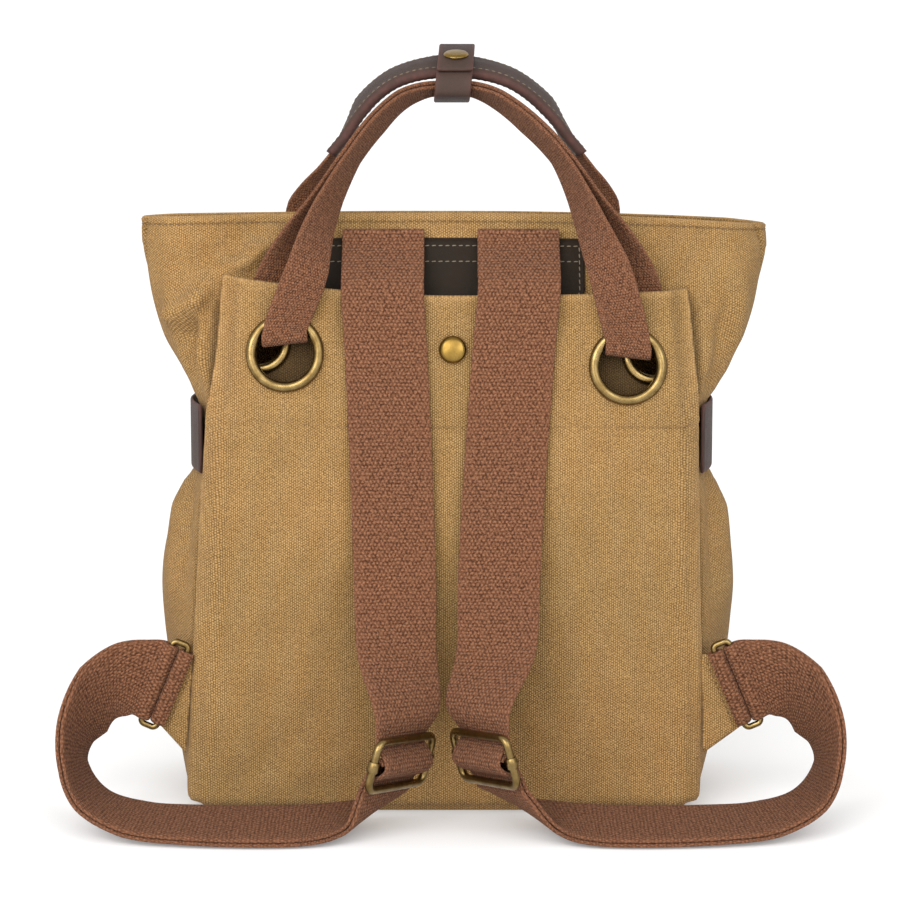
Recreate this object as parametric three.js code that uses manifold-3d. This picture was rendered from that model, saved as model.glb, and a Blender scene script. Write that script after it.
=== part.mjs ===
// Canvas and leather backpack, standing on its base.
// Millimetres, +Z up, origin on the floor below the middle of the bag at half its height.
// The wearer's side, with the pocket panel and the shoulder straps, faces -Y.
import * as THREE from "three";
import { mergeVertices } from "three/addons/utils/BufferGeometryUtils.js";
import Module from "manifold-3d";

const wasm = await Module();
wasm.setup();

// Driving dimensions
const CANVAS = 2.0;
const LEATHER = 2.0;
const WEBBING = 2.2;
const SEAT_GAP = 0.4;
const LAYER_PITCH = WEBBING + SEAT_GAP;
const STRAP_WIDTH = 45;
const HANDLE_WIDTH = 25;

// Steps round half of the body: back wall, each corner, gusset and front wall
const BACK_STEPS = 8;
const CORNER_STEPS = 2;
const GUSSET_STEPS = 6;
const FRONT_STEPS = 6;

// Body sections from the floor up. back and the three front columns are Y positions of the walls,
// wall is the half width of the flat walls, gusset the half width at the middle of the side.
const SECTIONS = [
  { z: 0, back: -57, frontMid: 57, frontRight: 57, frontLeft: 57, wall: 133, gusset: 139, corner: 12 },
  { z: 9, back: -62, frontMid: 62, frontRight: 62, frontLeft: 62, wall: 138.5, gusset: 147, corner: 12 },
  { z: 60, back: -63, frontMid: 63, frontRight: 63, frontLeft: 63, wall: 136, gusset: 157, corner: 11 },
  { z: 118, back: -62, frontMid: 61, frontRight: 61, frontLeft: 61, wall: 133.5, gusset: 164, corner: 10 },
  { z: 165, back: -60, frontMid: 57, frontRight: 57, frontLeft: 57, wall: 132.5, gusset: 157, corner: 9 },
  { z: 178, back: -59, frontMid: 55, frontRight: 55, frontLeft: 55, wall: 132, gusset: 150, corner: 8 },
  { z: 190, back: -58, frontMid: 53, frontRight: 53, frontLeft: 53, wall: 132, gusset: 143, corner: 8 },
  { z: 207, back: -56.5, frontMid: 50.5, frontRight: 50.5, frontLeft: 50.5, wall: 132, gusset: 141, corner: 8 },
  { z: 226, back: -54.7, frontMid: 47.3, frontRight: 47.3, frontLeft: 47.3, wall: 132.5, gusset: 143, corner: 8 },
  { z: 246, back: -52, frontMid: 42, frontRight: 42, frontLeft: 42, wall: 137, gusset: 155, corner: 8 },
  { z: 262, back: -49, frontMid: 36, frontRight: 38, frontLeft: 36, wall: 141, gusset: 163.8, corner: 8 },
  { z: 290, back: -43, frontMid: 22, frontRight: 30, frontLeft: 24, wall: 147, gusset: 171, corner: 7 },
  { z: 312, back: -34.5, frontMid: 7, frontRight: 25, frontLeft: 14, wall: 152, gusset: 173.6, corner: 6 },
  { z: 330, back: -26, frontMid: -5, frontRight: 22, frontLeft: 6, wall: 157, gusset: 173.9, corner: 5 },
];
const BODY_ROWS = [
  0, 2, 5, 9, 34, 60, 90, 118, 165, 178, 190, 207,
  226, 236, 246, 262, 276, 290, 301, 312, 321, 330,
];

// The bag leans a little: how far its two sides are moved to the right at each height
const LEAN = [
  { z: 0, shift: -4 },
  { z: 9, shift: -4 },
  { z: 60, shift: -2.5 },
  { z: 118, shift: -1.5 },
  { z: 165, shift: -0.7 },
  { z: 207, shift: 0.4 },
  { z: 226, shift: 1 },
  { z: 233, shift: 1.8 },
  { z: 262, shift: 2.4 },
  { z: 300, shift: 1.9 },
  { z: 330, shift: 2.2 },
];

// The rim sinks towards its two ends
const RIM_DROP = { start: 292, height: 330, left: 2.5, right: 6.5, halfWidth: 174 };

// Soft folds of the back wall above and beside the pocket panel: ridge lines with a width and a height.
// They fade out round the side, and start a little way beyond the panel's edges.
const WALL_FOLDS = [
  { x1: -168, z1: 262, x2: -106, z2: 306, width: 12, height: 5 },
  { x1: -166, z1: 240, x2: -138, z2: 286, width: 10, height: -5 },
  { x1: 150, z1: 250, x2: 168, z2: 310, width: 12, height: 4 },
  { x1: 120, z1: 300, x2: 150, z2: 322, width: 12, height: -3 },
];
const FOLD_FADE = { depth: 40, sideStart: 5, sideEnd: 16, topStart: 301, topEnd: 312 };

// Pocket panel: half girth and stand-off from the body wall by height, top edge height by place
const PANEL_GIRTH = [
  { z: 5, girth: 143.5 },
  { z: 60, girth: 142 },
  { z: 118, girth: 138.5 },
  { z: 165, girth: 136.5 },
  { z: 212, girth: 134.5 },
  { z: 233, girth: 132 },
  { z: 262, girth: 129 },
  { z: 300, girth: 126 },
];
const PANEL_STANDOFF = [
  { z: 5, gap: 0 },
  { z: 60, gap: 0.3 },
  { z: 150, gap: 3.5 },
  { z: 250, gap: 9 },
  { z: 300, gap: 12 },
];
const PANEL_TOP = [
  { x: -131, z: 296.5 },
  { x: -60, z: 289 },
  { x: 0, z: 286 },
  { x: 60, z: 286.5 },
  { x: 131, z: 289 },
];
const PANEL_ROWS = BODY_ROWS.filter((z) => z >= 5 && z <= 276);
const PANEL_SEAM = 0.8;
const PANEL_EDGE_FALL = 12;
const PANEL_COLUMNS = 26;

// Grommets: the panel's pair and the smaller pair in the wall behind, which sit further out
const GROMMET = { dome: 2.5, back: 1.4, seat: 0.6, barrel: 1.1, clearance: 0.5 };
const PANEL_GROMMET = { hole: 15.5, outer: 21.3 };
const WALL_GROMMET = { hole: 11, outer: 17 };
const PANEL_GROMMETS = { left: { x: -90, z: 256 }, right: { x: 96, z: 249 } };
const WALL_GROMMETS = { left: { x: -104.3, z: 260 }, right: { x: 110.4, z: 254 } };
const STUD = { x: 1, z: 258, radius: 7.5, rim: 1.2, dome: 4, seat: 0.3 };
const STUD_POST = { radius: 3, washer: 1, clearance: 0.4 };

// Leather yoke patch behind the strap tops
const YOKE = { halfWidth: 73, bottom: 281, top: 316, corner: 8, columns: 12, rows: 5 };

// Leather side straps: heights, shares of the gusset's depth where they start and end
const SIDE_STRAP = { bottom: 188, top: 226, start: 0.085, end: 0.97, fullness: 0.9, steps: 10 };

// Shoulder strap from its sewn stub on the yoke, over the fold and down to the slider.
// STRAP_X is measured outwards from the middle; fall is the share of the way from top to the side's own x,
// turn is the share of the way from facing forwards to the slider's own direction.
const STRAP_TOP = 322;
const STRAP_X = { top: 37, left: 29, right: 24 };
const STRAP_STUB = [296, 305, 313];
const STRAP_FOLD = { radius: 1.8, drop: 3, lift: 0.6, leaveOut: 5.5, leaveDown: 8 };
const STRAP_HANG = [
  { fall: 0.0, turn: 0, y: -61, z: 290 },
  { fall: 0.2, turn: 0, y: -65, z: 262 },
  { fall: 0.4, turn: 0, y: -67.5, z: 228 },
  { fall: 0.65, turn: 0.03, y: -71.5, z: 180 },
  { fall: 0.85, turn: 0.12, y: -80, z: 132 },
  { fall: 1.0, turn: 0.35, y: -94, z: 96 },
];

// Sliding-bar adjusters: place, axes and wire sizes
const SLIDER = { halfWidth: 26.2, halfLength: 13.5, wire: 2.2, corner: 5 };
const SLIDER_BAR = { radius: 1.6, collar: 3.2, collarLength: 6, clearance: 0.3 };
const SLIDER_PLACES = {
  left: { x: 26.8, y: -112, z: 41 },
  right: { x: 18, y: -112, z: 43.3 },
};
const SLIDER_WIDTH_AXIS = { x: 0.54, y: -0.83, z: 0.12 };
const SLIDER_UP_AXIS = { x: -0.26, y: 0, z: 0.97 };

// Weave of the strap through the slider, as shares of its half length, its depth behind the frame
// and its height over the bar, with the run-in above and below in millimetres
const WEAVE = { dip: 0.72, dipDepth: 0.8, climb: 0.35, climbHeight: 0.55, turnAbove: 0.7 };
const WEAVE_RUN = { above: 14, below: 5, lead: 2 };

// Doubled lower strap from the slider over the floor and round the curl to the ring.
// x is measured outwards; sx, sy and sz give the direction of the strap's width.
const STRAP_CURL = [
  { x: 45, y: -109, z: 13, sx: 0.42, sy: -0.9, sz: -0.1 },
  { x: 60, y: -111.5, z: 9, sx: 0.2, sy: -0.97, sz: -0.15 },
  { x: 80, y: -114, z: 7.2, sx: 0.02, sy: -0.985, sz: -0.16 },
  { x: 105, y: -115, z: 7, sx: 0, sy: -0.987, sz: -0.16 },
  { x: 138, y: -113, z: 7.2, sx: 0.05, sy: -0.987, sz: -0.14 },
  { x: 172, y: -107, z: 9, sx: 0.12, sy: -0.985, sz: -0.1 },
  { x: 195, y: -97, z: 17, sx: 0.2, sy: -0.97, sz: 0.05 },
  { x: 206, y: -84, z: 32, sx: 0.14, sy: -0.97, sz: 0.14 },
  { x: 206, y: -72, z: 48.5, sx: 0.24, sy: -0.84, sz: 0.46 },
  { x: 197, y: -63, z: 64, sx: 0.22, sy: -0.42, sz: 0.88 },
  { x: 184.5, y: -60, z: 74, sx: -0.07, sy: -0.22, sz: 0.97 },
];

// Side rings and the tabs that hold them: the inner bar's middle, its slant and the ring's sizes
const ANCHOR = { x: 154, y: -58.4, z: 70, slant: 0.4 };
const RING = { span: 9.1, halfLength: 25, corner: 2.5, wire: 1.75, lead: 5.5 };
const TAB = { reach: -3, top: 20, bottom: -22, seamOut: 6.3, seamTop: 88, seamBottom: 34 };
const SLEEVE = { width: 44, tail: 4 };

// Near handle: shared arch rows, from the panel up to the crown, with the width direction
const HANDLE_BEND = { drop: 11, leg: 5.4, tilt: 0.12 };
const NEAR_ARCH = [
  { left: 77, right: 85, y: -69, z: 302, sx: 0.83, sy: 0.4, sz: -0.39 },
  { left: 71, right: 76, y: -60, z: 324, sx: 0.55, sy: 0.7, sz: -0.45 },
  { left: 63.5, right: 68.5, y: -49, z: 342, sx: 0.33, sy: 0.84, sz: -0.43 },
  { left: 53, right: 58.4, y: -37, z: 361, sx: 0.2, sy: 0.93, sz: -0.3 },
  { left: 39.5, right: 41.5, y: -24, z: 378.5, sx: 0.2, sy: 0.93, sz: -0.32 },
  { left: 26, right: 25, y: -11, z: 391, sx: 0.1, sy: 0.95, sz: -0.3 },
  { left: 12, right: 12, y: -3, z: 396, sx: 0.02, sy: 0.975, sz: -0.2 },
];
const NEAR_CROWN = { x: 1, y: -2, z: 396.6, sx: 0, sy: 0.985, sz: -0.14 };
const NEAR_REAR_LEG = [
  { dx: 7, y: -49.5, z: 284, sx: 1, sy: 0, sz: 0 },
  { dx: 4, y: -47.5, z: 298, sx: 0.93, sy: 0.35, sz: -0.1 },
  { dx: -5, y: -46, z: 316, sx: 0.64, sy: 0.7, sz: -0.3 },
  { dx: -19, y: -42.5, z: 336, sx: 0.36, sy: 0.83, sz: -0.43 },
];
const NEAR_REAR_JOIN = 3;

// Far handle: rows on the far wall, then free up to the crown
const FAR_WALL_ROWS = [252, 270, 290, 308];
const FAR_WALL_X = 82;
const FAR_WALL_LIFT = 0.6;
const FAR_ARCH = [
  { left: 80, right: 83, y: 9, z: 333, sx: 0.9, sy: 0.4, sz: -0.15 },
  { left: 69, right: 75, y: 13, z: 352, sx: 0.45, sy: 0.88, sz: -0.1 },
  { left: 59.3, right: 65.5, y: 13, z: 370, sx: 0.05, sy: 0.99, sz: 0 },
  { left: 49.5, right: 53.5, y: 11, z: 388.5, sx: -0.16, sy: 0.97, sz: 0.15 },
  { left: 32.5, right: 34.5, y: 9, z: 403, sx: -0.1, sy: 0.965, sz: 0.22 },
  { left: 13, right: 14, y: 7.5, z: 409, sx: 0, sy: 0.96, sz: 0.28 },
];
const FAR_CROWN = { x: 1, y: 7, z: 410, sx: 0, sy: 0.94, sz: 0.34 };
const GRIP = { wall: 1.6, firstStation: 11 };

// Keeper round both handles: hull corners in Y and Z, strip width, overlap layer
const KEEPER = { halfWidth: 10, clearance: 1.6, corner: 2, start: 0.38 };
const KEEPER_LAP = { height: 3.2, endLift: 0.6, bend: 0.12, climb: 0.6 };
const KEEPER_HULL = [
  { y: -8.8, z: 409.2 },
  { y: -16.6, z: 402.4 },
  { y: -16.8, z: 395.4 },
  { y: 11.4, z: 392.2 },
  { y: 23, z: 411.2 },
  { y: 20.6, z: 419.6 },
];
const RIVET = { radius: 7, rim: 0.8, dome: 2.2, seat: 0.3, share: 0.1 };

const OUTWARD = { left: -1, right: 1 };

const PALETTE = {
  canvas: { color: 0xb28e5c, roughness: 0.95, metalness: 0 },
  webbing: { color: 0x91644e, roughness: 0.95, metalness: 0 },
  darkLeather: { color: 0x3a302a, roughness: 0.6, metalness: 0 },
  brownLeather: { color: 0x58443e, roughness: 0.6, metalness: 0 },
  brass: { color: 0xa58a4e, roughness: 0.35, metalness: 1 },
};

const model = new THREE.Group();
model.name = "canvas_leather_backpack";

function addPart(name, geometry, paletteKey) {
  geometry.computeVertexNormals();
  const material = new THREE.MeshStandardMaterial(PALETTE[paletteKey]);
  const mesh = new THREE.Mesh(geometry, material);
  mesh.name = name;
  model.add(mesh);
  return mesh;
}

// Table lookup with a smooth curve that never overshoots its rows
function lookUp(table, key, column, at) {
  const last = table.length - 1;
  if (at <= table[0][key]) return table[0][column];
  if (at >= table[last][key]) return table[last][column];
  const i = table.findIndex((row, index) => index < last && at < table[index + 1][key]);
  const slope = (k) => (table[k + 1][column] - table[k][column]) / (table[k + 1][key] - table[k][key]);
  const tangent = (k) => {
    if (k === 0) return slope(0);
    if (k === last) return slope(last - 1);
    const before = slope(k - 1);
    const after = slope(k);
    return before * after <= 0 ? 0 : (2 * before * after) / (before + after);
  };
  const span = table[i + 1][key] - table[i][key];
  const t = (at - table[i][key]) / span;
  const t2 = t * t;
  const t3 = t2 * t;
  return (2 * t3 - 3 * t2 + 1) * table[i][column] + (t3 - 2 * t2 + t) * span * tangent(i)
    + (3 * t2 - 2 * t3) * table[i + 1][column] + (t3 - t2) * span * tangent(i + 1);
}

function easeBetween(from, to, value) {
  const t = THREE.MathUtils.clamp((value - from) / (to - from), 0, 1);
  return t * t * (3 - 2 * t);
}

// Collects vertices and faces of one closed surface
class Surface {
  constructor() {
    this.positions = [];
    this.faces = [];
  }

  vertex(point) {
    this.positions.push(point.x, point.y, point.z);
    return this.positions.length / 3 - 1;
  }

  grid(rows) {
    return rows.map((row) => row.map((point) => this.vertex(point)));
  }

  quad(a, b, c, d) {
    this.faces.push(a, b, c, a, c, d);
  }

  triangle(a, b, c) {
    this.faces.push(a, b, c);
  }

  geometry() {
    const result = new THREE.BufferGeometry();
    result.setAttribute("position", new THREE.Float32BufferAttribute(this.positions, 3));
    result.setIndex(this.faces);
    return result;
  }
}

function toSolid(geometry) {
  const bare = geometry.clone();
  bare.deleteAttribute("normal");
  bare.deleteAttribute("uv");
  const merged = mergeVertices(bare, 1e-4);
  const vertProperties = new Float32Array(merged.attributes.position.array);
  const triVerts = new Uint32Array(merged.index.array);
  return new wasm.Manifold(new wasm.Mesh({ numProp: 3, vertProperties, triVerts }));
}

function fromSolid(solid) {
  const mesh = solid.getMesh();
  const result = new THREE.BufferGeometry();
  result.setAttribute("position", new THREE.Float32BufferAttribute(mesh.vertProperties, 3));
  result.setIndex(Array.from(mesh.triVerts));
  return result;
}

// Cuts every tool geometry out of the blank
function cutOut(blank, tools) {
  let solid = toSolid(blank);
  for (const tool of tools) solid = solid.subtract(toSolid(tool));
  return fromSolid(solid);
}

function joinAll(geometries) {
  let solid = toSolid(geometries[0]);
  for (const geometry of geometries.slice(1)) solid = solid.add(toSolid(geometry));
  return fromSolid(solid);
}

// Body surface
function sectionAt(z) {
  const section = { z };
  for (const column of ["back", "frontMid", "frontRight", "frontLeft", "wall", "gusset", "corner"]) {
    section[column] = lookUp(SECTIONS, "z", column, z);
  }
  return section;
}

function leanAt(z) {
  return lookUp(LEAN, "z", "shift", z);
}

function frontY(section, x) {
  const corner = x < 0 ? section.frontLeft : section.frontRight;
  return section.frontMid + (corner - section.frontMid) * (x / section.wall) ** 2;
}

function rimDrop(x, z) {
  if (z <= RIM_DROP.start) return 0;
  const height = ((z - RIM_DROP.start) / (RIM_DROP.height - RIM_DROP.start)) ** 1.5;
  const end = x < 0 ? RIM_DROP.left : RIM_DROP.right;
  return end * height * (x / RIM_DROP.halfWidth) ** 2;
}

// Plan points of half a section, from the middle of the back wall round to the middle of the front wall
function halfSection(z, side, fineness) {
  const section = sectionAt(z);
  const lean = side * leanAt(z);
  const wall = section.wall + lean;
  const flat = wall - section.corner;
  const front = side < 0 ? section.frontLeft : section.frontRight;
  const turn = section.corner / (front - section.back);
  const onGusset = (t) => new THREE.Vector2(
    wall + (section.gusset - section.wall) * Math.sin(Math.PI * t),
    section.back + (front - section.back) * t,
  );
  const round = (from, corner, to) => new THREE.QuadraticBezierCurve(from, corner, to)
    .getPoints(CORNER_STEPS * fineness).slice(1, -1);
  const points = [];
  for (let i = 0; i <= BACK_STEPS * fineness; i++) {
    points.push(new THREE.Vector2((flat * i) / (BACK_STEPS * fineness), section.back));
  }
  const backCorner = new THREE.Vector2(wall, section.back);
  points.push(...round(points[points.length - 1], backCorner, onGusset(turn)));
  for (let i = 0; i <= GUSSET_STEPS * fineness; i++) {
    points.push(onGusset(turn + ((1 - 2 * turn) * i) / (GUSSET_STEPS * fineness)));
  }
  const frontEnd = new THREE.Vector2(flat, frontY(section, side * flat));
  const frontCorner = new THREE.Vector2(wall, front);
  points.push(...round(points[points.length - 1], frontCorner, frontEnd));
  for (let i = FRONT_STEPS * fineness; i >= 0; i--) {
    const x = (flat * i) / (FRONT_STEPS * fineness);
    points.push(new THREE.Vector2(x, frontY(section, side * x)));
  }
  return points;
}

// Half girth of the pocket panel on the side of a place
function panelHalf(x, z) {
  return lookUp(PANEL_GIRTH, "z", "girth", z) + Math.sign(x) * leanAt(z);
}

function distanceToLine(x, z, fold) {
  const dx = fold.x2 - fold.x1;
  const dz = fold.z2 - fold.z1;
  const share = ((x - fold.x1) * dx + (z - fold.z1) * dz) / (dx * dx + dz * dz);
  const along = THREE.MathUtils.clamp(share, 0, 1);
  return Math.hypot(x - fold.x1 - along * dx, z - fold.z1 - along * dz);
}

// Outward height of the folds at a place on the back half of the body, none under the pocket panel
function foldHeight(x, y, z) {
  const section = sectionAt(z);
  const backShare = 1 - easeBetween(section.back, section.back + FOLD_FADE.depth, y);
  const half = panelHalf(x, z);
  const beside = easeBetween(half + FOLD_FADE.sideStart, half + FOLD_FADE.sideEnd, Math.abs(x));
  const above = easeBetween(FOLD_FADE.topStart, FOLD_FADE.topEnd, z);
  let height = 0;
  for (const fold of WALL_FOLDS) {
    height += fold.height * Math.exp(-((distanceToLine(x, z, fold) / fold.width) ** 2));
  }
  return height * backShare * Math.max(beside, above);
}

// One closed ring of body points, moved inwards by the given depth
function bodyRing(z, inset) {
  const right = halfSection(z, 1, 1);
  const left = halfSection(z, -1, 1).slice(1, -1).reverse();
  const plan = [...right, ...left.map((point) => new THREE.Vector2(-point.x, point.y))];
  const count = plan.length;
  return plan.map((point, i) => {
    const before = plan[(i + count - 1) % count];
    const after = plan[(i + 1) % count];
    const along = new THREE.Vector2().subVectors(after, before).normalize();
    const outward = foldHeight(point.x, point.y, z) - inset;
    const x = point.x + along.y * outward;
    const y = point.y - along.x * outward;
    return new THREE.Vector3(x, y, z - rimDrop(point.x, z));
  });
}

function buildBody() {
  const surface = new Surface();
  const outer = surface.grid(BODY_ROWS.map((z) => bodyRing(z, 0)));
  const innerRows = [CANVAS, ...BODY_ROWS.filter((z) => z > 2 * CANVAS)];
  const inner = surface.grid(innerRows.map((z) => bodyRing(z, CANVAS)));
  const count = outer[0].length;
  const rim = outer[outer.length - 1];
  const innerRim = inner[inner.length - 1];
  const floor = surface.vertex(new THREE.Vector3(0, 0, 0));
  const innerFloor = surface.vertex(new THREE.Vector3(0, 0, CANVAS));
  for (let j = 0; j < count; j++) {
    const k = (j + 1) % count;
    for (let i = 0; i + 1 < outer.length; i++) {
      surface.quad(outer[i][j], outer[i][k], outer[i + 1][k], outer[i + 1][j]);
    }
    for (let i = 0; i + 1 < inner.length; i++) {
      surface.quad(inner[i][j], inner[i + 1][j], inner[i + 1][k], inner[i][k]);
    }
    surface.quad(rim[j], rim[k], innerRim[k], innerRim[j]);
    surface.triangle(floor, outer[0][k], outer[0][j]);
    surface.triangle(innerFloor, inner[0][j], inner[0][k]);
  }
  const holes = [wallGrommetPlace("left"), wallGrommetPlace("right")].map(grommetHole);
  addPart("body_shell", cutOut(surface.geometry(), holes), "canvas");
}

// Flat sheet with thickness between two matching grids, whose columns run left to right
function thickSheet(outerPoints, innerPoints) {
  const surface = new Surface();
  const outer = surface.grid(outerPoints);
  const inner = surface.grid(innerPoints);
  const top = outer.length - 1;
  const end = outer[0].length - 1;
  for (let i = 0; i < top; i++) {
    for (let j = 0; j < end; j++) {
      surface.quad(outer[i][j], outer[i][j + 1], outer[i + 1][j + 1], outer[i + 1][j]);
      surface.quad(inner[i][j], inner[i + 1][j], inner[i + 1][j + 1], inner[i][j + 1]);
    }
    surface.quad(outer[i][0], outer[i + 1][0], inner[i + 1][0], inner[i][0]);
    surface.quad(inner[i][end], inner[i + 1][end], outer[i + 1][end], outer[i][end]);
  }
  for (let j = 0; j < end; j++) {
    surface.quad(inner[0][j], inner[0][j + 1], outer[0][j + 1], outer[0][j]);
    surface.quad(outer[top][j], outer[top][j + 1], inner[top][j + 1], inner[top][j]);
  }
  return surface.geometry();
}

// Pocket panel surface
function panelGap(x, z) {
  const half = panelHalf(x, z);
  const rise = lookUp(PANEL_STANDOFF, "z", "gap", z);
  const inside = 1 - easeBetween(half - PANEL_EDGE_FALL, half - 2, Math.abs(x));
  return PANEL_SEAM + rise * inside;
}

function panelPoint(share, z, depth) {
  const side = share < 0 ? -1 : 1;
  const girth = Math.abs(share) * panelHalf(side, z);
  const plan = halfSection(z, side, 4);
  let walked = 0;
  let i = 0;
  while (i + 2 < plan.length && walked + plan[i].distanceTo(plan[i + 1]) < girth) {
    walked += plan[i].distanceTo(plan[i + 1]);
    i += 1;
  }
  const along = new THREE.Vector2().subVectors(plan[i + 1], plan[i]).normalize();
  const place = plan[i].clone().addScaledVector(along, girth - walked);
  const outward = panelGap(side * girth, z) + depth;
  return new THREE.Vector3(side * (place.x + along.y * outward), place.y - along.x * outward, z);
}

function panelFaceY(x, z) {
  return lookUp(SECTIONS, "z", "back", z) - panelGap(x, z) - CANVAS;
}

function buildPanel() {
  const shares = [];
  for (let j = 0; j <= PANEL_COLUMNS; j++) shares.push(Math.sin(Math.PI * (j / PANEL_COLUMNS - 0.5)));
  const topAt = (share) => lookUp(PANEL_TOP, "x", "z", share * PANEL_TOP[PANEL_TOP.length - 1].x);
  const rows = PANEL_ROWS.map((z) => shares.map((share) => ({ share, z })));
  rows.push(shares.map((share) => ({ share, z: topAt(share) })));
  const sheet = (depth) => rows.map((row) => row.map((cell) => panelPoint(cell.share, cell.z, depth)));
  const holes = [panelGrommetPlace("left"), panelGrommetPlace("right")].map(grommetHole);
  holes.push(studHole());
  addPart("back_panel", cutOut(thickSheet(sheet(CANVAS), sheet(0)), holes), "canvas");
}

// Grommets: place on a canvas sheet, with the direction that the sheet faces
function facing(faceY, x, z) {
  const step = 18;
  const lean = (faceY(x, z + step) - faceY(x, z - step)) / (2 * step);
  return new THREE.Vector3(0, -1, lean).normalize();
}

function panelGrommetPlace(side) {
  const { x, z } = PANEL_GROMMETS[side];
  return { ...PANEL_GROMMET, x, y: panelFaceY(x, z), z, axis: facing(panelFaceY, x, z) };
}

function wallGrommetPlace(side) {
  const { x, z } = WALL_GROMMETS[side];
  const wallY = (atX, atZ) => lookUp(SECTIONS, "z", "back", atZ);
  return { ...WALL_GROMMET, x, y: wallY(x, z), z, axis: facing(wallY, x, z) };
}

// Turns a shape made round the Y axis to the sheet's facing and moves it there
function seatOn(place, geometry) {
  const turn = new THREE.Quaternion().setFromUnitVectors(new THREE.Vector3(0, 1, 0), place.axis);
  geometry.applyQuaternion(turn);
  geometry.translate(place.x, place.y, place.z);
  return geometry;
}

function grommetHole(place) {
  const radius = place.hole + GROMMET.barrel + GROMMET.clearance;
  return seatOn(place, new THREE.CylinderGeometry(radius, radius, 8 * CANVAS, 24));
}

// One rolled brass ring that clamps the canvas between a domed face and a thin back flange
function buildGrommet(name, place) {
  const { hole, outer } = place;
  const { dome, back, seat } = GROMMET;
  const behind = CANVAS + 1.3 * seat;
  const middle = (hole + outer) / 2;
  const barrel = hole + GROMMET.barrel;
  const shoulder = 0.75 * dome;
  const roll = 0.7;
  const profile = [
    [hole, -behind],
    [hole + roll, -behind - back],
    [outer - 2 * roll, -behind - back],
    [outer - roll, -behind],
    [barrel, -behind],
    [barrel, seat],
    [outer, seat],
    [outer - roll, shoulder],
    [middle, dome + seat],
    [hole + roll, shoulder],
    [hole, seat],
    [hole, -behind],
  ];
  const points = profile.map(([radius, height]) => new THREE.Vector2(radius, height));
  const geometry = new THREE.LatheGeometry(points, 24);
  addPart(name, seatOn(place, geometry), "brass");
}

function studPlace() {
  const { x, z } = STUD;
  return { x, y: panelFaceY(x, z), z, axis: facing(panelFaceY, x, z) };
}

function studHole() {
  const radius = STUD_POST.radius + STUD_POST.clearance;
  return seatOn(studPlace(), new THREE.CylinderGeometry(radius, radius, 6 * CANVAS, 16));
}

// Domed stud with a post through the panel and a washer behind it
function buildStud() {
  const { radius, rim, dome, seat } = STUD;
  const { radius: post, washer, clearance } = STUD_POST;
  const behind = CANVAS + clearance;
  const washerRadius = 0.73 * radius;
  const profile = [
    [0, -behind - washer],
    [washerRadius, -behind - washer],
    [washerRadius, -behind],
    [post, -behind],
    [post, seat],
    [radius, seat],
    [radius, rim],
    [0.8 * radius, 0.72 * dome],
    [0.45 * radius, 0.95 * dome],
    [0, dome],
  ];
  const points = profile.map(([across, height]) => new THREE.Vector2(across, height));
  addPart("panel_stud", seatOn(studPlace(), new THREE.LatheGeometry(points, 20)), "brass");
}

// Yoke patch that lies on the back wall, its lower corners rounded
function buildYoke() {
  const { halfWidth, bottom, top, corner, columns, rows } = YOKE;
  const sheet = (depth) => {
    const grid = [];
    for (let i = 0; i <= rows; i++) {
      const row = [];
      for (let j = 0; j <= columns; j++) {
        const x = halfWidth * ((2 * j) / columns - 1);
        const inCorner = Math.max(0, Math.abs(x) - (halfWidth - corner));
        const low = bottom + corner - Math.sqrt(corner * corner - inCorner * inCorner);
        const z = low + ((top - low) * i) / rows;
        const y = lookUp(SECTIONS, "z", "back", z) - SEAT_GAP - depth;
        row.push(new THREE.Vector3(x, y, z - rimDrop(x, z)));
      }
      grid.push(row);
    }
    return grid;
  };
  addPart("yoke_patch", thickSheet(sheet(LEATHER), sheet(0)), "darkLeather");
}

// Leather strap over the gusset from the panel's seam to the front corner
function buildSideStrap(name, side) {
  const { bottom, top, start, end, fullness, steps } = SIDE_STRAP;
  const section = sectionAt((bottom + top) / 2);
  const wall = section.wall + side * leanAt(section.z);
  const bulge = Math.max(sectionAt(bottom).gusset, sectionAt(top).gusset) - section.wall;
  const stations = [];
  for (let i = 0; i <= steps; i++) {
    const t = start + ((end - start) * i) / steps;
    const x = wall + bulge * Math.sin(Math.PI * t) ** fullness + SEAT_GAP + LEATHER;
    const y = section.back + (section.frontMid - section.back) * t;
    const z = (bottom + top) / 2;
    stations.push({ p: new THREE.Vector3(side * x, y, z), s: new THREE.Vector3(0, 0, 1) });
  }
  addPart(name, sweep(stations, flatSection(top - bottom, LEATHER), false), "brownLeather");
}

// Sweeps: stations carry a place p and the direction s of the section's width
function flatSection(width, thickness) {
  const a = width / 2;
  const b = thickness / 2;
  return [[-a, -b], [a, -b], [a, b], [-a, b]];
}

function roundSection(radius, count) {
  const points = [];
  for (let i = 0; i < count; i++) {
    const angle = (2 * Math.PI * i) / count;
    points.push([radius * Math.cos(angle), radius * Math.sin(angle)]);
  }
  return points;
}

function framesOf(stations, closed) {
  const count = stations.length;
  return stations.map((station, i) => {
    const before = closed ? stations[(i + count - 1) % count] : stations[Math.max(0, i - 1)];
    const after = closed ? stations[(i + 1) % count] : stations[Math.min(count - 1, i + 1)];
    const t = new THREE.Vector3().subVectors(after.p, before.p).normalize();
    const s = station.s.clone().normalize();
    const n = new THREE.Vector3().crossVectors(t, s).normalize();
    return { p: station.p, s, n, t };
  });
}

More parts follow.
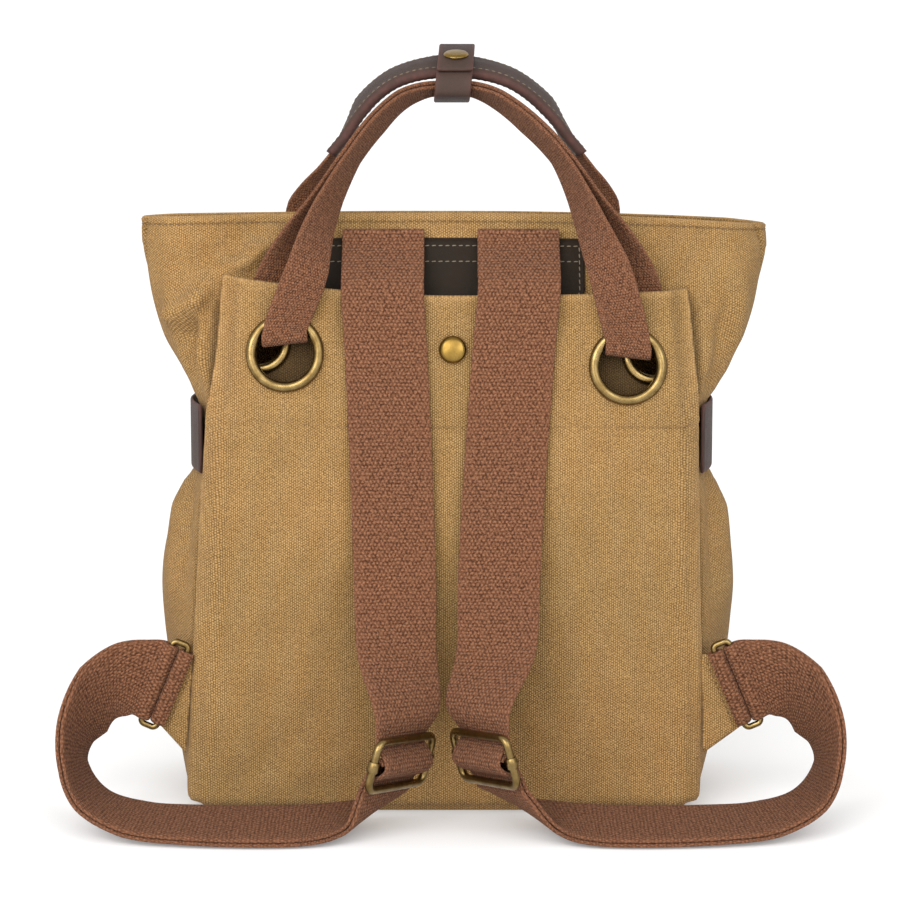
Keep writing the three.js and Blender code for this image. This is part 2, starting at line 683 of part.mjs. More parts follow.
function sweep(stations, section, closed) {
  const surface = new Surface();
  const rings = framesOf(stations, closed).map((frame) => section.map(([a, b]) => surface.vertex(
    frame.p.clone().addScaledVector(frame.s, a).addScaledVector(frame.n, b),
  )));
  const sides = section.length;
  const spans = closed ? rings.length : rings.length - 1;
  for (let i = 0; i < spans; i++) {
    const here = rings[i];
    const next = rings[(i + 1) % rings.length];
    for (let j = 0; j < sides; j++) {
      const k = (j + 1) % sides;
      if (2 * j < sides) surface.quad(here[j], here[k], next[k], next[j]);
      else surface.quad(here[k], next[k], next[j], here[j]);
    }
  }
  if (!closed) {
    const end = rings[rings.length - 1];
    for (let j = 1; j + 1 < sides; j++) {
      surface.triangle(rings[0][0], rings[0][j + 1], rings[0][j]);
      surface.triangle(end[0], end[j], end[j + 1]);
    }
  }
  return surface.geometry();
}

// Smooth stations through a list of rows, with a number of steps between rows
function smoothStations(rows, steps) {
  const curve = new THREE.CatmullRomCurve3(rows.map((row) => row.p), false, "centripetal");
  const spans = rows.length - 1;
  const stations = [];
  for (let i = 0; i <= spans * steps; i++) {
    const index = Math.min(Math.floor(i / steps), spans - 1);
    const t = i / steps - index;
    stations.push({
      p: curve.getPoint(i / (spans * steps)),
      s: rows[index].s.clone().lerp(rows[index + 1].s, t).normalize(),
    });
  }
  return stations;
}

// Moves stations along their own normal
function shifted(stations, distance) {
  return framesOf(stations, false).map((frame) => ({
    p: frame.p.clone().addScaledVector(frame.n, distance),
    s: frame.s.clone(),
  }));
}

// Half turn of stations round a centre, from one direction through another
function halfTurn(centre, from, through, radius, s, angles) {
  return angles.map((degrees) => {
    const angle = THREE.MathUtils.degToRad(degrees);
    const p = centre.clone()
      .addScaledVector(from, radius * Math.cos(angle))
      .addScaledVector(through, radius * Math.sin(angle));
    return { p, s: s.clone() };
  });
}

// Rectangle of wire with rounded corners in the plane of two axes
function wireLoop(centre, across, up, halfWidth, halfLength, corner, radius) {
  const axis = new THREE.Vector3().crossVectors(across, up);
  const stations = [];
  const signs = [[1, 1, 0], [-1, 1, 90], [-1, -1, 180], [1, -1, 270]];
  for (const [signX, signZ, startAngle] of signs) {
    for (const step of [0, 30, 60, 90]) {
      const angle = THREE.MathUtils.degToRad(startAngle + step);
      const a = signX * (halfWidth - corner) + corner * Math.cos(angle);
      const b = signZ * (halfLength - corner) + corner * Math.sin(angle);
      const p = centre.clone().addScaledVector(across, a).addScaledVector(up, b);
      stations.push({ p, s: axis.clone() });
    }
  }
  return sweep(stations, roundSection(radius, 8), true);
}

// Rows are written for the right side; the left side is their mirror image
function sided(side, p, s) {
  if (side === "right") return { p, s };
  return { p: new THREE.Vector3(-p.x, p.y, p.z), s: new THREE.Vector3(s.x, -s.y, -s.z) };
}

// Slider axes on the right side: width, up along the strap, and out of its face
function sliderAxes() {
  const across = new THREE.Vector3().copy(SLIDER_WIDTH_AXIS).normalize();
  const up = new THREE.Vector3().copy(SLIDER_UP_AXIS);
  up.addScaledVector(across, -up.dot(across)).normalize();
  const out = new THREE.Vector3().crossVectors(across, up);
  return { across, up, out };
}

function ringAxes() {
  const along = new THREE.Vector3(-Math.sin(ANCHOR.slant), 0, Math.cos(ANCHOR.slant));
  const outward = new THREE.Vector3(Math.cos(ANCHOR.slant), 0, Math.sin(ANCHOR.slant));
  const inner = new THREE.Vector3(ANCHOR.x, ANCHOR.y, ANCHOR.z);
  const outer = inner.clone().addScaledVector(outward, RING.span);
  return { along, outward, inner, outer };
}

// Route of one shoulder strap, written for the right side
function strapRoute(side) {
  const acrossX = new THREE.Vector3(1, 0, 0);
  const slider = sliderAxes();
  const backY = (z) => lookUp(SECTIONS, "z", "back", z);
  const seat = 3 * SEAT_GAP + LEATHER + WEBBING / 2;
  const rows = [];
  const add = (p, s) => rows.push({ p, s: s.clone() });
  const { radius, drop, lift, leaveOut, leaveDown } = STRAP_FOLD;
  const foldY = backY(STRAP_TOP) - seat - radius - lift;
  const foldCentre = new THREE.Vector3(STRAP_X.top, foldY, STRAP_TOP - drop);
  for (const z of STRAP_STUB) add(new THREE.Vector3(STRAP_X.top, backY(z) - seat, z), acrossX);
  const up = new THREE.Vector3(0, 0, 1);
  const inwards = new THREE.Vector3(0, 1, 0);
  rows.push(...halfTurn(foldCentre, inwards, up, radius, acrossX, [0, 45, 90, 135, 180]));
  const leave = new THREE.Vector3(STRAP_X.top, foldCentre.y - leaveOut, foldCentre.z - leaveDown);
  const hang = [{ p: leave, s: acrossX }];
  for (const row of STRAP_HANG) {
    const x = STRAP_X.top + (STRAP_X[side] - STRAP_X.top) * row.fall;
    hang.push({ p: new THREE.Vector3(x, row.y, row.z), s: acrossX.clone().lerp(slider.across, row.turn) });
  }

  const place = new THREE.Vector3().copy(SLIDER_PLACES[side]);
  const atSlider = (rise, out) => place.clone()
    .addScaledVector(slider.up, rise)
    .addScaledVector(slider.out, out);
  const behind = SLIDER.wire + 2 * SEAT_GAP + WEBBING / 2;
  const wrap = SLIDER_BAR.radius + SEAT_GAP + WEBBING / 2;
  const half = SLIDER.halfLength;
  const over = wrap + LAYER_PITCH;
  const turned = acrossX.clone().lerp(slider.across, WEAVE.turnAbove).normalize();
  hang.push({ p: atSlider(half + WEAVE_RUN.above, -behind), s: turned });
  hang.push({ p: atSlider(half, -behind), s: slider.across });
  rows.push(...smoothStations(hang, 3));
  add(atSlider(WEAVE.dip * half, -WEAVE.dipDepth * behind), slider.across);
  add(atSlider(WEAVE.climb * half, WEAVE.climbHeight * over), slider.across);
  add(atSlider(0, over), slider.across);
  add(atSlider(-WEAVE.climb * half, WEAVE.climbHeight * over), slider.across);
  add(atSlider(-WEAVE.dip * half, -WEAVE.dipDepth * behind), slider.across);
  add(atSlider(-half, -behind), slider.across);

  const ring = ringAxes();
  const underSlider = atSlider(-half - WEAVE_RUN.below, -behind - 0.8 * LAYER_PITCH);
  const core = [{ p: underSlider, s: slider.across }];
  for (const row of STRAP_CURL) {
    core.push({ p: new THREE.Vector3(row.x, row.y, row.z), s: new THREE.Vector3(row.sx, row.sy, row.sz) });
  }
  core.push({ p: ring.outer.clone().addScaledVector(ring.outward, RING.lead), s: ring.along });
  const doubled = smoothStations(core, 3);
  rows.push(...shifted(doubled, LAYER_PITCH / 2));

  const ringRadius = RING.wire + SEAT_GAP + WEBBING / 2;
  const away = new THREE.Vector3(0, 1, 0);
  const inward = ring.outward.clone().negate();
  const bend = [-10, 20, 50, 90, 130, 160, 190];
  rows.push(...halfTurn(ring.outer, away, inward, ringRadius, ring.along, bend));
  rows.push(...shifted(doubled, -LAYER_PITCH / 2).reverse());

  const back = slider.out.clone().negate();
  add(atSlider(-half, -behind - LAYER_PITCH), slider.across);
  add(atSlider(-half / 2, -wrap - WEAVE_RUN.lead), slider.across);
  rows.push(...halfTurn(place, back, slider.up, wrap, slider.across, [0, 40, 80, 120, 160]));
  return rows.map((row) => sided(side, row.p, row.s));
}

function buildStrap(side) {
  const stations = smoothStations(strapRoute(side), 1);
  addPart(`shoulder_strap_${side}`, sweep(stations, flatSection(STRAP_WIDTH, WEBBING), false), "webbing");
}

// Short tube round a line, for the collars of the sliding bar
function tubeRound(centre, along, inside, outside, length) {
  const profile = [[inside, 0], [outside, 0], [outside, length], [inside, length], [inside, 0]];
  const points = profile.map(([radius, height]) => new THREE.Vector2(radius, height - length / 2));
  const geometry = new THREE.LatheGeometry(points, 16);
  geometry.applyQuaternion(new THREE.Quaternion().setFromUnitVectors(new THREE.Vector3(0, 1, 0), along));
  geometry.translate(centre.x, centre.y, centre.z);
  return geometry;
}

function rodBetween(centre, along, radius, length) {
  const geometry = new THREE.CylinderGeometry(radius, radius, length, 12);
  geometry.applyQuaternion(new THREE.Quaternion().setFromUnitVectors(new THREE.Vector3(0, 1, 0), along));
  geometry.translate(centre.x, centre.y, centre.z);
  return geometry;
}

function mirroredAxis(side, axis) {
  return new THREE.Vector3(OUTWARD[side] * axis.x, axis.y, axis.z);
}

function buildSlider(side) {
  const slider = sliderAxes();
  const across = mirroredAxis(side, slider.across);
  const up = mirroredAxis(side, slider.up);
  const place = new THREE.Vector3().copy(SLIDER_PLACES[side]);
  place.x *= OUTWARD[side];
  const { halfWidth, halfLength, corner, wire } = SLIDER;
  const { radius, collar, collarLength, clearance } = SLIDER_BAR;
  const frame = wireLoop(place, across, up, halfWidth, halfLength, corner, wire);
  addPart(`slider_frame_${side}`, frame, "brass");
  const inside = wire + clearance;
  const collars = [-1, 1].map((end) => {
    const centre = place.clone().addScaledVector(across, end * halfWidth);
    return tubeRound(centre, up, inside, collar, collarLength);
  });
  const rod = rodBetween(place, across, radius, 2 * (halfWidth - (inside + collar) / 2));
  addPart(`slider_bar_${side}`, joinAll([rod, ...collars]), "brass");
}

// Ring, the canvas tab that carries it and the webbing sleeve round its inner bar
function buildAnchor(side) {
  const ring = ringAxes();
  const along = mirroredAxis(side, ring.along);
  const outward = mirroredAxis(side, ring.outward);
  const inner = mirroredAxis(side, ring.inner);
  const middle = inner.clone().addScaledVector(outward, RING.span / 2);
  const loop = wireLoop(middle, outward, along, RING.span / 2, RING.halfLength, RING.corner, RING.wire);
  addPart(`ring_${side}`, loop, "brass");

  const away = new THREE.Vector3(0, 1, 0);
  const radius = RING.wire + SEAT_GAP + WEBBING / 2;
  const tailDepth = CANVAS / 2 + SEAT_GAP + WEBBING / 2;
  const tail = (sign) => ({
    p: inner.clone().addScaledVector(outward, -SLEEVE.tail).addScaledVector(away, sign * tailDepth),
    s: along.clone(),
  });
  const bend = halfTurn(inner, away, outward, radius, along, [-20, 15, 50, 90, 130, 165, 200]);
  const sleeve = smoothStations([tail(1), ...bend, tail(-1)], 1);
  addPart(`tab_sleeve_${side}`, sweep(sleeve, flatSection(SLEEVE.width, WEBBING), false), "webbing");

  const tabTop = inner.clone().addScaledVector(outward, TAB.reach).addScaledVector(along, TAB.top);
  const tabBottom = inner.clone().addScaledVector(outward, TAB.reach).addScaledVector(along, TAB.bottom);
  const seam = (z) => new THREE.Vector3(
    OUTWARD[side] * (sectionAt(z).wall + TAB.seamOut) + leanAt(z), ANCHOR.y, z,
  );
  const edges = [[seam(TAB.seamTop), tabTop], [seam(TAB.seamBottom), tabBottom]];
  const depth = new THREE.Vector3(0, CANVAS / 2, 0);
  const corners = (sign) => {
    const moved = (point) => point.clone().addScaledVector(depth, sign);
    const [high, low] = edges.map((edge) => edge.map(moved));
    return side === "right" ? [low, high] : [[low[1], low[0]], [high[1], high[0]]];
  };
  addPart(`ring_tab_${side}`, thickSheet(corners(-1), corners(1)), "canvas");
}

// Near handle: one webbing, doubled, that passes through both grommets of the pocket panel
function nearRow(side, row) {
  return {
    p: new THREE.Vector3(OUTWARD[side] * row[side], row.y, row.z),
    s: new THREE.Vector3(-OUTWARD[side] * row.sx, row.sy, row.sz),
  };
}

function grommetBend(side) {
  const grommet = panelGrommetPlace(side);
  const towards = grommet.axis;
  const down = new THREE.Vector3(0, -towards.z, towards.y);
  const centre = new THREE.Vector3(grommet.x, grommet.y, grommet.z)
    .addScaledVector(down, -HANDLE_BEND.drop)
    .addScaledVector(towards, -CANVAS / 2);
  const s = new THREE.Vector3(-OUTWARD[side], 0, HANDLE_BEND.tilt);
  return halfTurn(centre, towards, down, HANDLE_BEND.leg, s, [0, 30, 60, 90, 120, 150, 180]);
}

function rearLeg(side) {
  const outward = OUTWARD[side];
  return NEAR_REAR_LEG.map((row) => ({
    p: new THREE.Vector3(PANEL_GROMMETS[side].x + outward * row.dx, row.y, row.z),
    s: new THREE.Vector3(-outward * row.sx, row.sy, row.sz),
  }));
}

function buildNearHandle() {
  const crown = {
    p: new THREE.Vector3(NEAR_CROWN.x, NEAR_CROWN.y, NEAR_CROWN.z),
    s: new THREE.Vector3(NEAR_CROWN.sx, NEAR_CROWN.sy, NEAR_CROWN.sz),
  };
  const left = NEAR_ARCH.map((row) => nearRow("left", row));
  const right = NEAR_ARCH.map((row) => nearRow("right", row));
  const arch = smoothStations([...left, crown, ...right.slice().reverse()], 2);
  const outer = shifted(arch, LAYER_PITCH);
  const middle = (arch.length - 1) / 2;
  const join = 2 * NEAR_REAR_JOIN;
  const rows = [
    ...outer.slice(join, middle).reverse(),
    ...rearLeg("left").reverse(),
    ...grommetBend("left").reverse(),
    ...arch,
    ...grommetBend("right"),
    ...rearLeg("right"),
    ...outer.slice(middle + 1, outer.length - join).reverse(),
  ];
  const handle = sweep(smoothStations(rows, 1), flatSection(HANDLE_WIDTH, WEBBING), false);
  addPart("handle_near", handle, "webbing");
}

// Far handle: its ends lie on the far wall, its middle carries the leather grip
function farStations() {
  const wallRows = (side) => FAR_WALL_ROWS.map((z) => {
    const x = OUTWARD[side] * FAR_WALL_X;
    const section = sectionAt(z);
    const y = frontY(section, x) + SEAT_GAP + WEBBING / 2 + FAR_WALL_LIFT;
    const turn = (frontY(section, x + 1) - frontY(section, x - 1)) / 2;
    const across = new THREE.Vector3(1, turn, 0).multiplyScalar(-OUTWARD[side]);
    return { p: new THREE.Vector3(x, y, z), s: across };
  });
  const archRows = (side) => FAR_ARCH.map((row) => ({
    p: new THREE.Vector3(OUTWARD[side] * row[side], row.y, row.z),
    s: new THREE.Vector3(-OUTWARD[side] * row.sx, row.sy, row.sz),
  }));
  const crown = {
    p: new THREE.Vector3(FAR_CROWN.x, FAR_CROWN.y, FAR_CROWN.z),
    s: new THREE.Vector3(FAR_CROWN.sx, FAR_CROWN.sy, FAR_CROWN.sz),
  };
  const left = [...wallRows("left"), ...archRows("left")];
  const right = [...wallRows("right"), ...archRows("right")];
  return smoothStations([...left, crown, ...right.reverse()], 2);
}

// Tube of leather round a run of stations, open at both ends
function sleeveAround(stations, width, thickness, wall) {
  const surface = new Surface();
  const frames = framesOf(stations, false);
  const ring = (frame, section) => section.map(([a, b]) => surface.vertex(
    frame.p.clone().addScaledVector(frame.s, a).addScaledVector(frame.n, b),
  ));
  const outer = frames.map((frame) => ring(frame, flatSection(width + 2 * wall, thickness + 2 * wall)));
  const inner = frames.map((frame) => ring(frame, flatSection(width, thickness)));
  const last = frames.length - 1;
  for (let j = 0; j < 4; j++) {
    const k = (j + 1) % 4;
    for (let i = 0; i < last; i++) {
      const [here, next] = [outer[i], outer[i + 1]];
      const [hereIn, nextIn] = [inner[i], inner[i + 1]];
      if (j < 2) {
        surface.quad(here[j], here[k], next[k], next[j]);
        surface.quad(hereIn[j], nextIn[j], nextIn[k], hereIn[k]);
      } else {
        surface.quad(here[k], next[k], next[j], here[j]);
        surface.quad(hereIn[k], hereIn[j], nextIn[j], nextIn[k]);
      }
    }
    surface.quad(inner[0][j], inner[0][k], outer[0][k], outer[0][j]);
    surface.quad(outer[last][j], outer[last][k], inner[last][k], inner[last][j]);
  }
  return surface.geometry();
}

function buildFarHandle() {
  const stations = farStations();
  addPart("handle_far", sweep(stations, flatSection(HANDLE_WIDTH, WEBBING), false), "webbing");
  const grip = stations.slice(GRIP.firstStation, stations.length - GRIP.firstStation);
  const clear = 2 * SEAT_GAP;
  const sleeve = sleeveAround(grip, HANDLE_WIDTH + clear, WEBBING + clear, GRIP.wall);
  addPart("handle_grip", sleeve, "brownLeather");
}

// Keeper: one leather strip wound once round both handles, its end lapped over its start
function keeperPath() {
  const corners = KEEPER_HULL.map((corner) => new THREE.Vector2(corner.y, corner.z));
  const count = corners.length;
  const middle = new THREE.Vector2();
  for (const corner of corners) middle.addScaledVector(corner, 1 / count);
  const out = (index, extra) => {
    const before = corners[(index + count - 1) % count];
    const here = corners[index % count];
    const after = corners[(index + 1) % count];
    const bisector = here.clone().sub(before).normalize().add(here.clone().sub(after).normalize());
    if (bisector.dot(here.clone().sub(middle)) < 0) bisector.negate();
    return here.clone().addScaledVector(bisector.normalize(), KEEPER.clearance + extra);
  };
  const path = [];
  const slopeStart = out(count - 1, 0).lerp(out(0, 0), KEEPER.start);
  path.push(slopeStart, slopeStart.clone().lerp(out(0, 0), 0.7));
  for (let i = 0; i < count; i++) {
    const here = out(i, 0);
    const before = i === 0 ? slopeStart : out(i - 1, 0);
    const after = i === count - 1 ? out(0, KEEPER_LAP.height) : out(i + 1, 0);
    path.push(here.clone().lerp(before, KEEPER.corner / here.distanceTo(before)));
    path.push(here.clone().lerp(after, KEEPER.corner / here.distanceTo(after)));
  }
  const lapped = out(0, KEEPER_LAP.height);
  const overStart = out(count - 1, KEEPER_LAP.height).lerp(lapped, KEEPER_LAP.climb * KEEPER.start);
  path.push(overStart);
  path.push(lapped.clone().lerp(overStart, KEEPER_LAP.bend));
  path.push(out(1, KEEPER_LAP.height + KEEPER_LAP.endLift).lerp(lapped, KEEPER.start));
  return path;
}

function buildKeeper() {
  const rows = keeperPath().map((point) => ({
    p: new THREE.Vector3(NEAR_CROWN.x, point.x, point.y),
    s: new THREE.Vector3(1, 0, 0),
  }));
  const strip = sweep(rows, flatSection(2 * KEEPER.halfWidth, LEATHER), false);
  addPart("handle_keeper", strip, "brownLeather");
  const high = rows[rows.length - 3].p;
  const low = rows[rows.length - 2].p;
  const slope = new THREE.Vector3().subVectors(high, low).normalize();
  const axis = new THREE.Vector3(1, 0, 0).cross(slope).normalize();
  const centre = low.clone().lerp(high, RIVET.share).addScaledVector(axis, LEATHER / 2);
  const { radius, rim, dome, seat } = RIVET;
  const profile = [[0, seat], [radius, seat], [radius, rim], [0.6 * radius, 0.9 * dome], [0, dome]];
  const points = profile.map(([across, height]) => new THREE.Vector2(across, height));
  const place = { x: centre.x, y: centre.y, z: centre.z, axis };
  addPart("keeper_rivet", seatOn(place, new THREE.LatheGeometry(points, 18)), "brass");
}

buildBody();
buildPanel();
buildYoke();
buildStud();
buildNearHandle();
buildFarHandle();
buildKeeper();
for (const side of ["left", "right"]) {
  buildGrommet(`panel_grommet_${side}`, panelGrommetPlace(side));
  buildGrommet(`wall_grommet_${side}`, wallGrommetPlace(side));
  buildStrap(side);
  buildSlider(side);
  buildAnchor(side);
  buildSideStrap(`side_strap_${side}`, OUTWARD[side]);
}

export default model;
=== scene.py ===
"""Looks of a canvas and leather backpack: cloth, leather, brass, stitching, floor, light and camera."""
import math
from functools import lru_cache

import bpy
import numpy as np
from mathutils import Matrix, Vector, noise


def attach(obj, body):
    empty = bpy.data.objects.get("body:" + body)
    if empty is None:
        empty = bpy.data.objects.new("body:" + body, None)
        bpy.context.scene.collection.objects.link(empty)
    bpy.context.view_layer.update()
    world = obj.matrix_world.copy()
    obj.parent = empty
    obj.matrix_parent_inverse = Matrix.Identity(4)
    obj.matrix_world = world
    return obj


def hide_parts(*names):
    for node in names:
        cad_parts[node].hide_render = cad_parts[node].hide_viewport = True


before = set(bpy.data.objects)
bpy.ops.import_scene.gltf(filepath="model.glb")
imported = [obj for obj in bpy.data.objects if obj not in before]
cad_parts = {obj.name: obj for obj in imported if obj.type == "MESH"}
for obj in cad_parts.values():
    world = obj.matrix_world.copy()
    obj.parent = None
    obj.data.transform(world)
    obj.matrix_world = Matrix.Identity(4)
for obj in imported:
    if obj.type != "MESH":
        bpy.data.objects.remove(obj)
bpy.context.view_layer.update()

bl_info = {
    "name": "Canvas and Leather Backpack",
    "version": (1, 0, 0),
    "blender": (4, 5, 0),
    "location": "View3D > Sidebar > Backpack",
    "description": "Builds the cloth, webbing, leather and brass of a backpack on its CAD frame",
    "category": "Object",
}

# All tables are in millimetres; meshes and settings are in metres
MM = 0.001
SIDES = {"left": -1, "right": 1}
CLOTH_UV = "cloth"
# The wear attribute holds real wear above zero and painted shade below zero
WEAR_AND_PAINTED_SHADE = "wear"
SMOOTH_ANGLE = 50

# Gap between neighbouring pieces, and the step over which the slope of a face is taken
SEAT_GAP = 0.4
SEAT_STEP = 18

# A mesh with more faces than this is tested for its direction on every seventh face only
BIG_MESH = 60000
BIG_MESH_STEP = 7

# Body sections from the floor up: walls in Y, half widths of the wall and of the gusset, corner size
BODY_COLUMNS = ("z", "back", "front_mid", "front_right", "front_left", "wall", "gusset", "corner")
BODY_SECTIONS = (
    (0, -57, 57, 57, 57, 133, 139, 12),
    (9, -62, 62, 62, 62, 138.5, 147, 12),
    (60, -63, 63, 63, 63, 136, 157, 11),
    (118, -62, 61, 61, 61, 133.5, 164, 10),
    (165, -60, 57, 57, 57, 132.5, 157, 9),
    (178, -59, 55, 55, 55, 132, 150, 8),
    (190, -58, 53, 53, 53, 132, 143, 8),
    (207, -56.5, 50.5, 50.5, 50.5, 132, 141, 8),
    (226, -54.7, 47.3, 47.3, 47.3, 132.5, 143, 8),
    (246, -52, 42, 42, 42, 137, 155, 8),
    (262, -49, 36, 38, 36, 141, 163.8, 8),
    (290, -43, 22, 30, 24, 147, 171, 7),
    (312, -34.5, 7, 25, 14, 152, 173.6, 6),
    (330, -26, -5, 22, 6, 157, 173.9, 5),
)

# The bag leans a little: how far its two sides are moved to the right at each height
LEAN_SHIFT = (
    (0, -4), (9, -4), (60, -2.5), (118, -1.5), (165, -0.7),
    (207, 0.4), (226, 1), (233, 1.8), (262, 2.4), (300, 1.9), (330, 2.2),
)

# Rows and columns of the body; the inside has fewer rows below its hem, and the base closes in rings
BODY_STEPS = {"back": 52, "corner": 10, "gusset": 40, "front": 34}
BODY_FOOT_ROWS = (0, 1, 2.5, 5, 9)
BODY_ROW_STEP = 2.6
INSIDE_ROWS = {"hem": 22, "every": 3}
BASE_RINGS = {"shares": (0.3, 0.6, 0.85), "rise": 0.4, "cloth": 60}

# Rim and hem: sink of the rim's two ends, the lip as inset and lift, the stitch row and the doubled cloth
RIM_HEIGHT = 330
RIM_DROP = {"start": 292, "left": 2.5, "right": 6.5, "half_width": 174, "power": 1.5}
RIM_LIP = ((0.25, -0.35), (0.8, 0), (1.5, 0.1), (2.4, 0), (3.0, -0.35))
HEM = {"stitch_drop": 4.6, "stitch_lift": 0.5, "groove": 0.45, "groove_width": 1.1, "depth": 17, "extra": 1.3}
HEM_SWELL = {"height": 0.5, "run": 1.5}
HEM_ROWS = {"start": 20, "first": 19.5, "last": 0.8, "step": 0.9}

# Where the canvas is rubbed, and painted shade in the groove of the stitch row: how far the wear reaches from
# the rim and the foot, and how far the shade reaches from the stitch row
BAG_RUB_AND_SHADE = {"rim": 1.5, "foot": 5, "foot_share": 0.6, "stitch": 0.9, "stitch_shade": 0.4}

# Crease of the canvas along the panel's side seam, darkened in it by painted shade, and the heights where it
# starts and ends
SEAM_CREASE = {"out": 2.4, "width": 2.6, "depth": 1.4, "dark": 0.75, "foot": (4, 12), "top": (276, 292)}

# Painted shade on the back wall inside the pocket: where it fades at the panel's sides, foot and top, and how
# deep it reaches
POCKET_SHADE = {"side": (-9, -4), "foot": (8, 14), "top": (274, 282), "depth": 2}

# Soft folds of the canvas beside and above the panel: ridge from (x, z) to (x, z), width and height
WALL_FOLDS = (
    (-150, 275, -96, 318, 5.5, 8.5),
    (-146, 297, -100, 327, 9, -5),
    (-150, 258, -130, 284, 6.5, -6),
    (-137, 284, -136, 226, 4, 4.5),
    (-147, 262, -144, 228, 5, -3),
    (150, 250, 168, 310, 12, 4),
    (112, 300, 128, 322, 10, -4.5),
    (146, 268, 160, 236, 8, -3),
)

# Where the folds fade: depth from the back wall, distance beside the panel, height above its top edge
FOLD_FADE = {"depth": 40, "side": (4, 10), "top": (1, 9)}

# Loose ripple of the canvas: heights and sizes of its lumps, and the height from which it is full
RIPPLE_LUMPS = ((1.5, 62), (0.7, 27))
RIPPLE_FULL = 40

# Scale that turns a height into a depth share, and how far beyond the wall the pleats fade in
PLEAT_SCALE = 0.004
PLEAT_FADE = (-2, 6)

# Pleats of the gussets above and below the leather strap: ridge in depth share and Z, width and height
PLEATS = (
    (0.10, 236, 0.02, 272, 0.05, -4),
    (0.24, 234, 0.16, 278, 0.06, 3),
    (0.50, 232, 0.50, 316, 0.07, -5),
    (0.76, 234, 0.84, 278, 0.06, 3),
    (0.16, 182, 0.10, 136, 0.05, -4),
    (0.30, 180, 0.24, 124, 0.07, 3.5),
    (0.50, 182, 0.50, 106, 0.07, -4),
    (0.70, 180, 0.76, 124, 0.07, 3.5),
)

# Pocket panel: half girth and stand-off by height, height of the top edge by place
PANEL_GIRTH = (
    (5, 143.5), (60, 142), (118, 138.5), (165, 136.5), (212, 134.5), (233, 132), (262, 129), (300, 126),
)
PANEL_STANDOFF = ((5, 0), (60, 0.3), (150, 3.5), (250, 9), (300, 12))
PANEL_TOP = ((-131, 296.5), (-60, 289), (0, 286), (60, 286.5), (131, 289))
PANEL = {"seam": 0.8, "edge_fall": (12, 2), "bottom": 5, "columns": 132, "rows": 122}
PANEL_STITCHES = {"height": 216, "reach": 0.97, "stations": 160, "rise": 7, "rise_start": 0.35, "sink": 0.15}

# Relief of the panel: lumps as height, seed and size; hem; rolled top; welt as height, inset and width
PANEL_FADE = {"foot": (0, 24), "side": (-16, -2)}
PANEL_LUMPS = ((0.8, 3.0, 70), (0.35, 9.0, 30))
PANEL_HEM = {"swell": 0.3, "run": 1, "dent": 0.5, "width": 1.4}
PANEL_ROLL = {"height": 0.6, "width": 5}
PANEL_WELT = ((0.7, 3, 2.2), (-0.4, 7.5, 1.6))
PANEL_INNER_DENT = 0.2
PANEL_RUB = {"girth": 130, "top": 2.0, "side": 3, "side_share": 0.8}

# Drag lines of the panel: ridge from (x, z) to (x, z), width and height
PANEL_DRAGS = (
    (-120, 12, -78, 52, 9, -1.6),
    (-104, 8, -50, 36, 8, 1.4),
    (-128, 70, -116, 200, 7, -1.2),
    (112, 10, 84, 60, 10, -1.2),
    (128, 70, 120, 210, 7, -1.0),
    (-60, 150, -104, 110, 18, 1.3),
    (70, 190, 104, 150, 16, 1.2),
    (-70, 236, -56, 280, 7, -1.6),
    (72, 230, 62, 280, 7, -1.5),
    (-6, 200, 4, 270, 12, -1.2),
)

# Brass: gap under a head, grommets of the panel and of the wall, the stud, the sliders and the rings
HEAD_SEAT = 0.3
GROMMET = {"dome": 2.9, "back": 1.4, "barrel": 1.1, "lift": 0.4, "hole_room": 1.4}
GROMMET_SIZES = {"panel": {"hole": 15.5, "outer": 21.3}, "wall": {"hole": 11, "outer": 17}}
GROMMET_PLACES = {
    "panel": {"left": (-90, 256), "right": (96, 249)},
    "wall": {"left": (-104.3, 260), "right": (110.4, 254)},
}
STUD = {"x": 1, "z": 258, "radius": 7.5, "dome": 4, "edge": 1.1, "stand": 1.0}
SLIDER = {"half_width": 26.2, "half_length": 13.5, "wire": 2.2, "corner": 5}
SLIDER_BAR = {"radius": 1.6, "collar": 3.2, "collar_length": 6, "room": 0.3, "bevel": 0.3}
COLLAR_EDGE = {"in": 0.5, "along": 0.7}
SLIDER_PLACES = {"left": (26.8, -112, 41), "right": (18, -112, 43.3)}
SLIDER_WIDTH_AXIS = (0.54, -0.83, 0.12)
SLIDER_UP_AXIS = (-0.26, 0, 0.97)
ANCHOR = {"x": 154, "y": -58.4, "z": 70, "slant": 0.4}
RING = {"span": 9.1, "half_length": 25, "corner": 2.5, "wire": 1.75, "lead": 5.5}

# Leather: yoke behind the strap tops, side straps, grip and keeper of the handles
YOKE = {"half_width": 73, "bottom": 281, "top": 316, "corner": 8, "rows": 17, "columns": 61, "crowd": 1.35}
YOKE_STITCHES = {
    "inset": 2.6, "drops": (3.4, 11.8), "dent": 0.35, "width": 0.9, "sink": 0.2, "normal": (0, -1, 0.35),
}
YOKE_STITCH_CORNER = {"in": 5, "down": 5.4, "angles": (0.4, 0.8, 1.2, 1.5)}
SIDE_STRAP = {"bottom": 188, "top": 226, "start": 0.085, "end": 0.97, "fullness": 0.9, "stations": 40}
LEATHER_ACROSS = 13
GRIP = {"wall": 1.6, "first_station": 11, "swell": 0.22, "swell_width": 7, "wear_room": 4}
GRIP_STITCHES = {"inset": 1.6, "sink": 0.1}
KEEPER = {"half_width": 10, "clearance": 1.6, "corner": 2, "start": 0.38, "run_in": 0.7, "skew": 0.1}
KEEPER_LAP = {"height": 3.2, "end_lift": 0.6, "bend": 0.12, "climb": 0.6}

# Corners in Y and Z that the keeper is wound round, and the rivet on its lapped end
KEEPER_HULL = ((-8.8, 409.2), (-16.6, 402.4), (-16.8, 395.4), (11.4, 392.2), (23, 411.2), (20.6, 419.6))
RIVET = {"radius": 7, "dome": 2.2, "edge": 0.6, "share": 0.1}

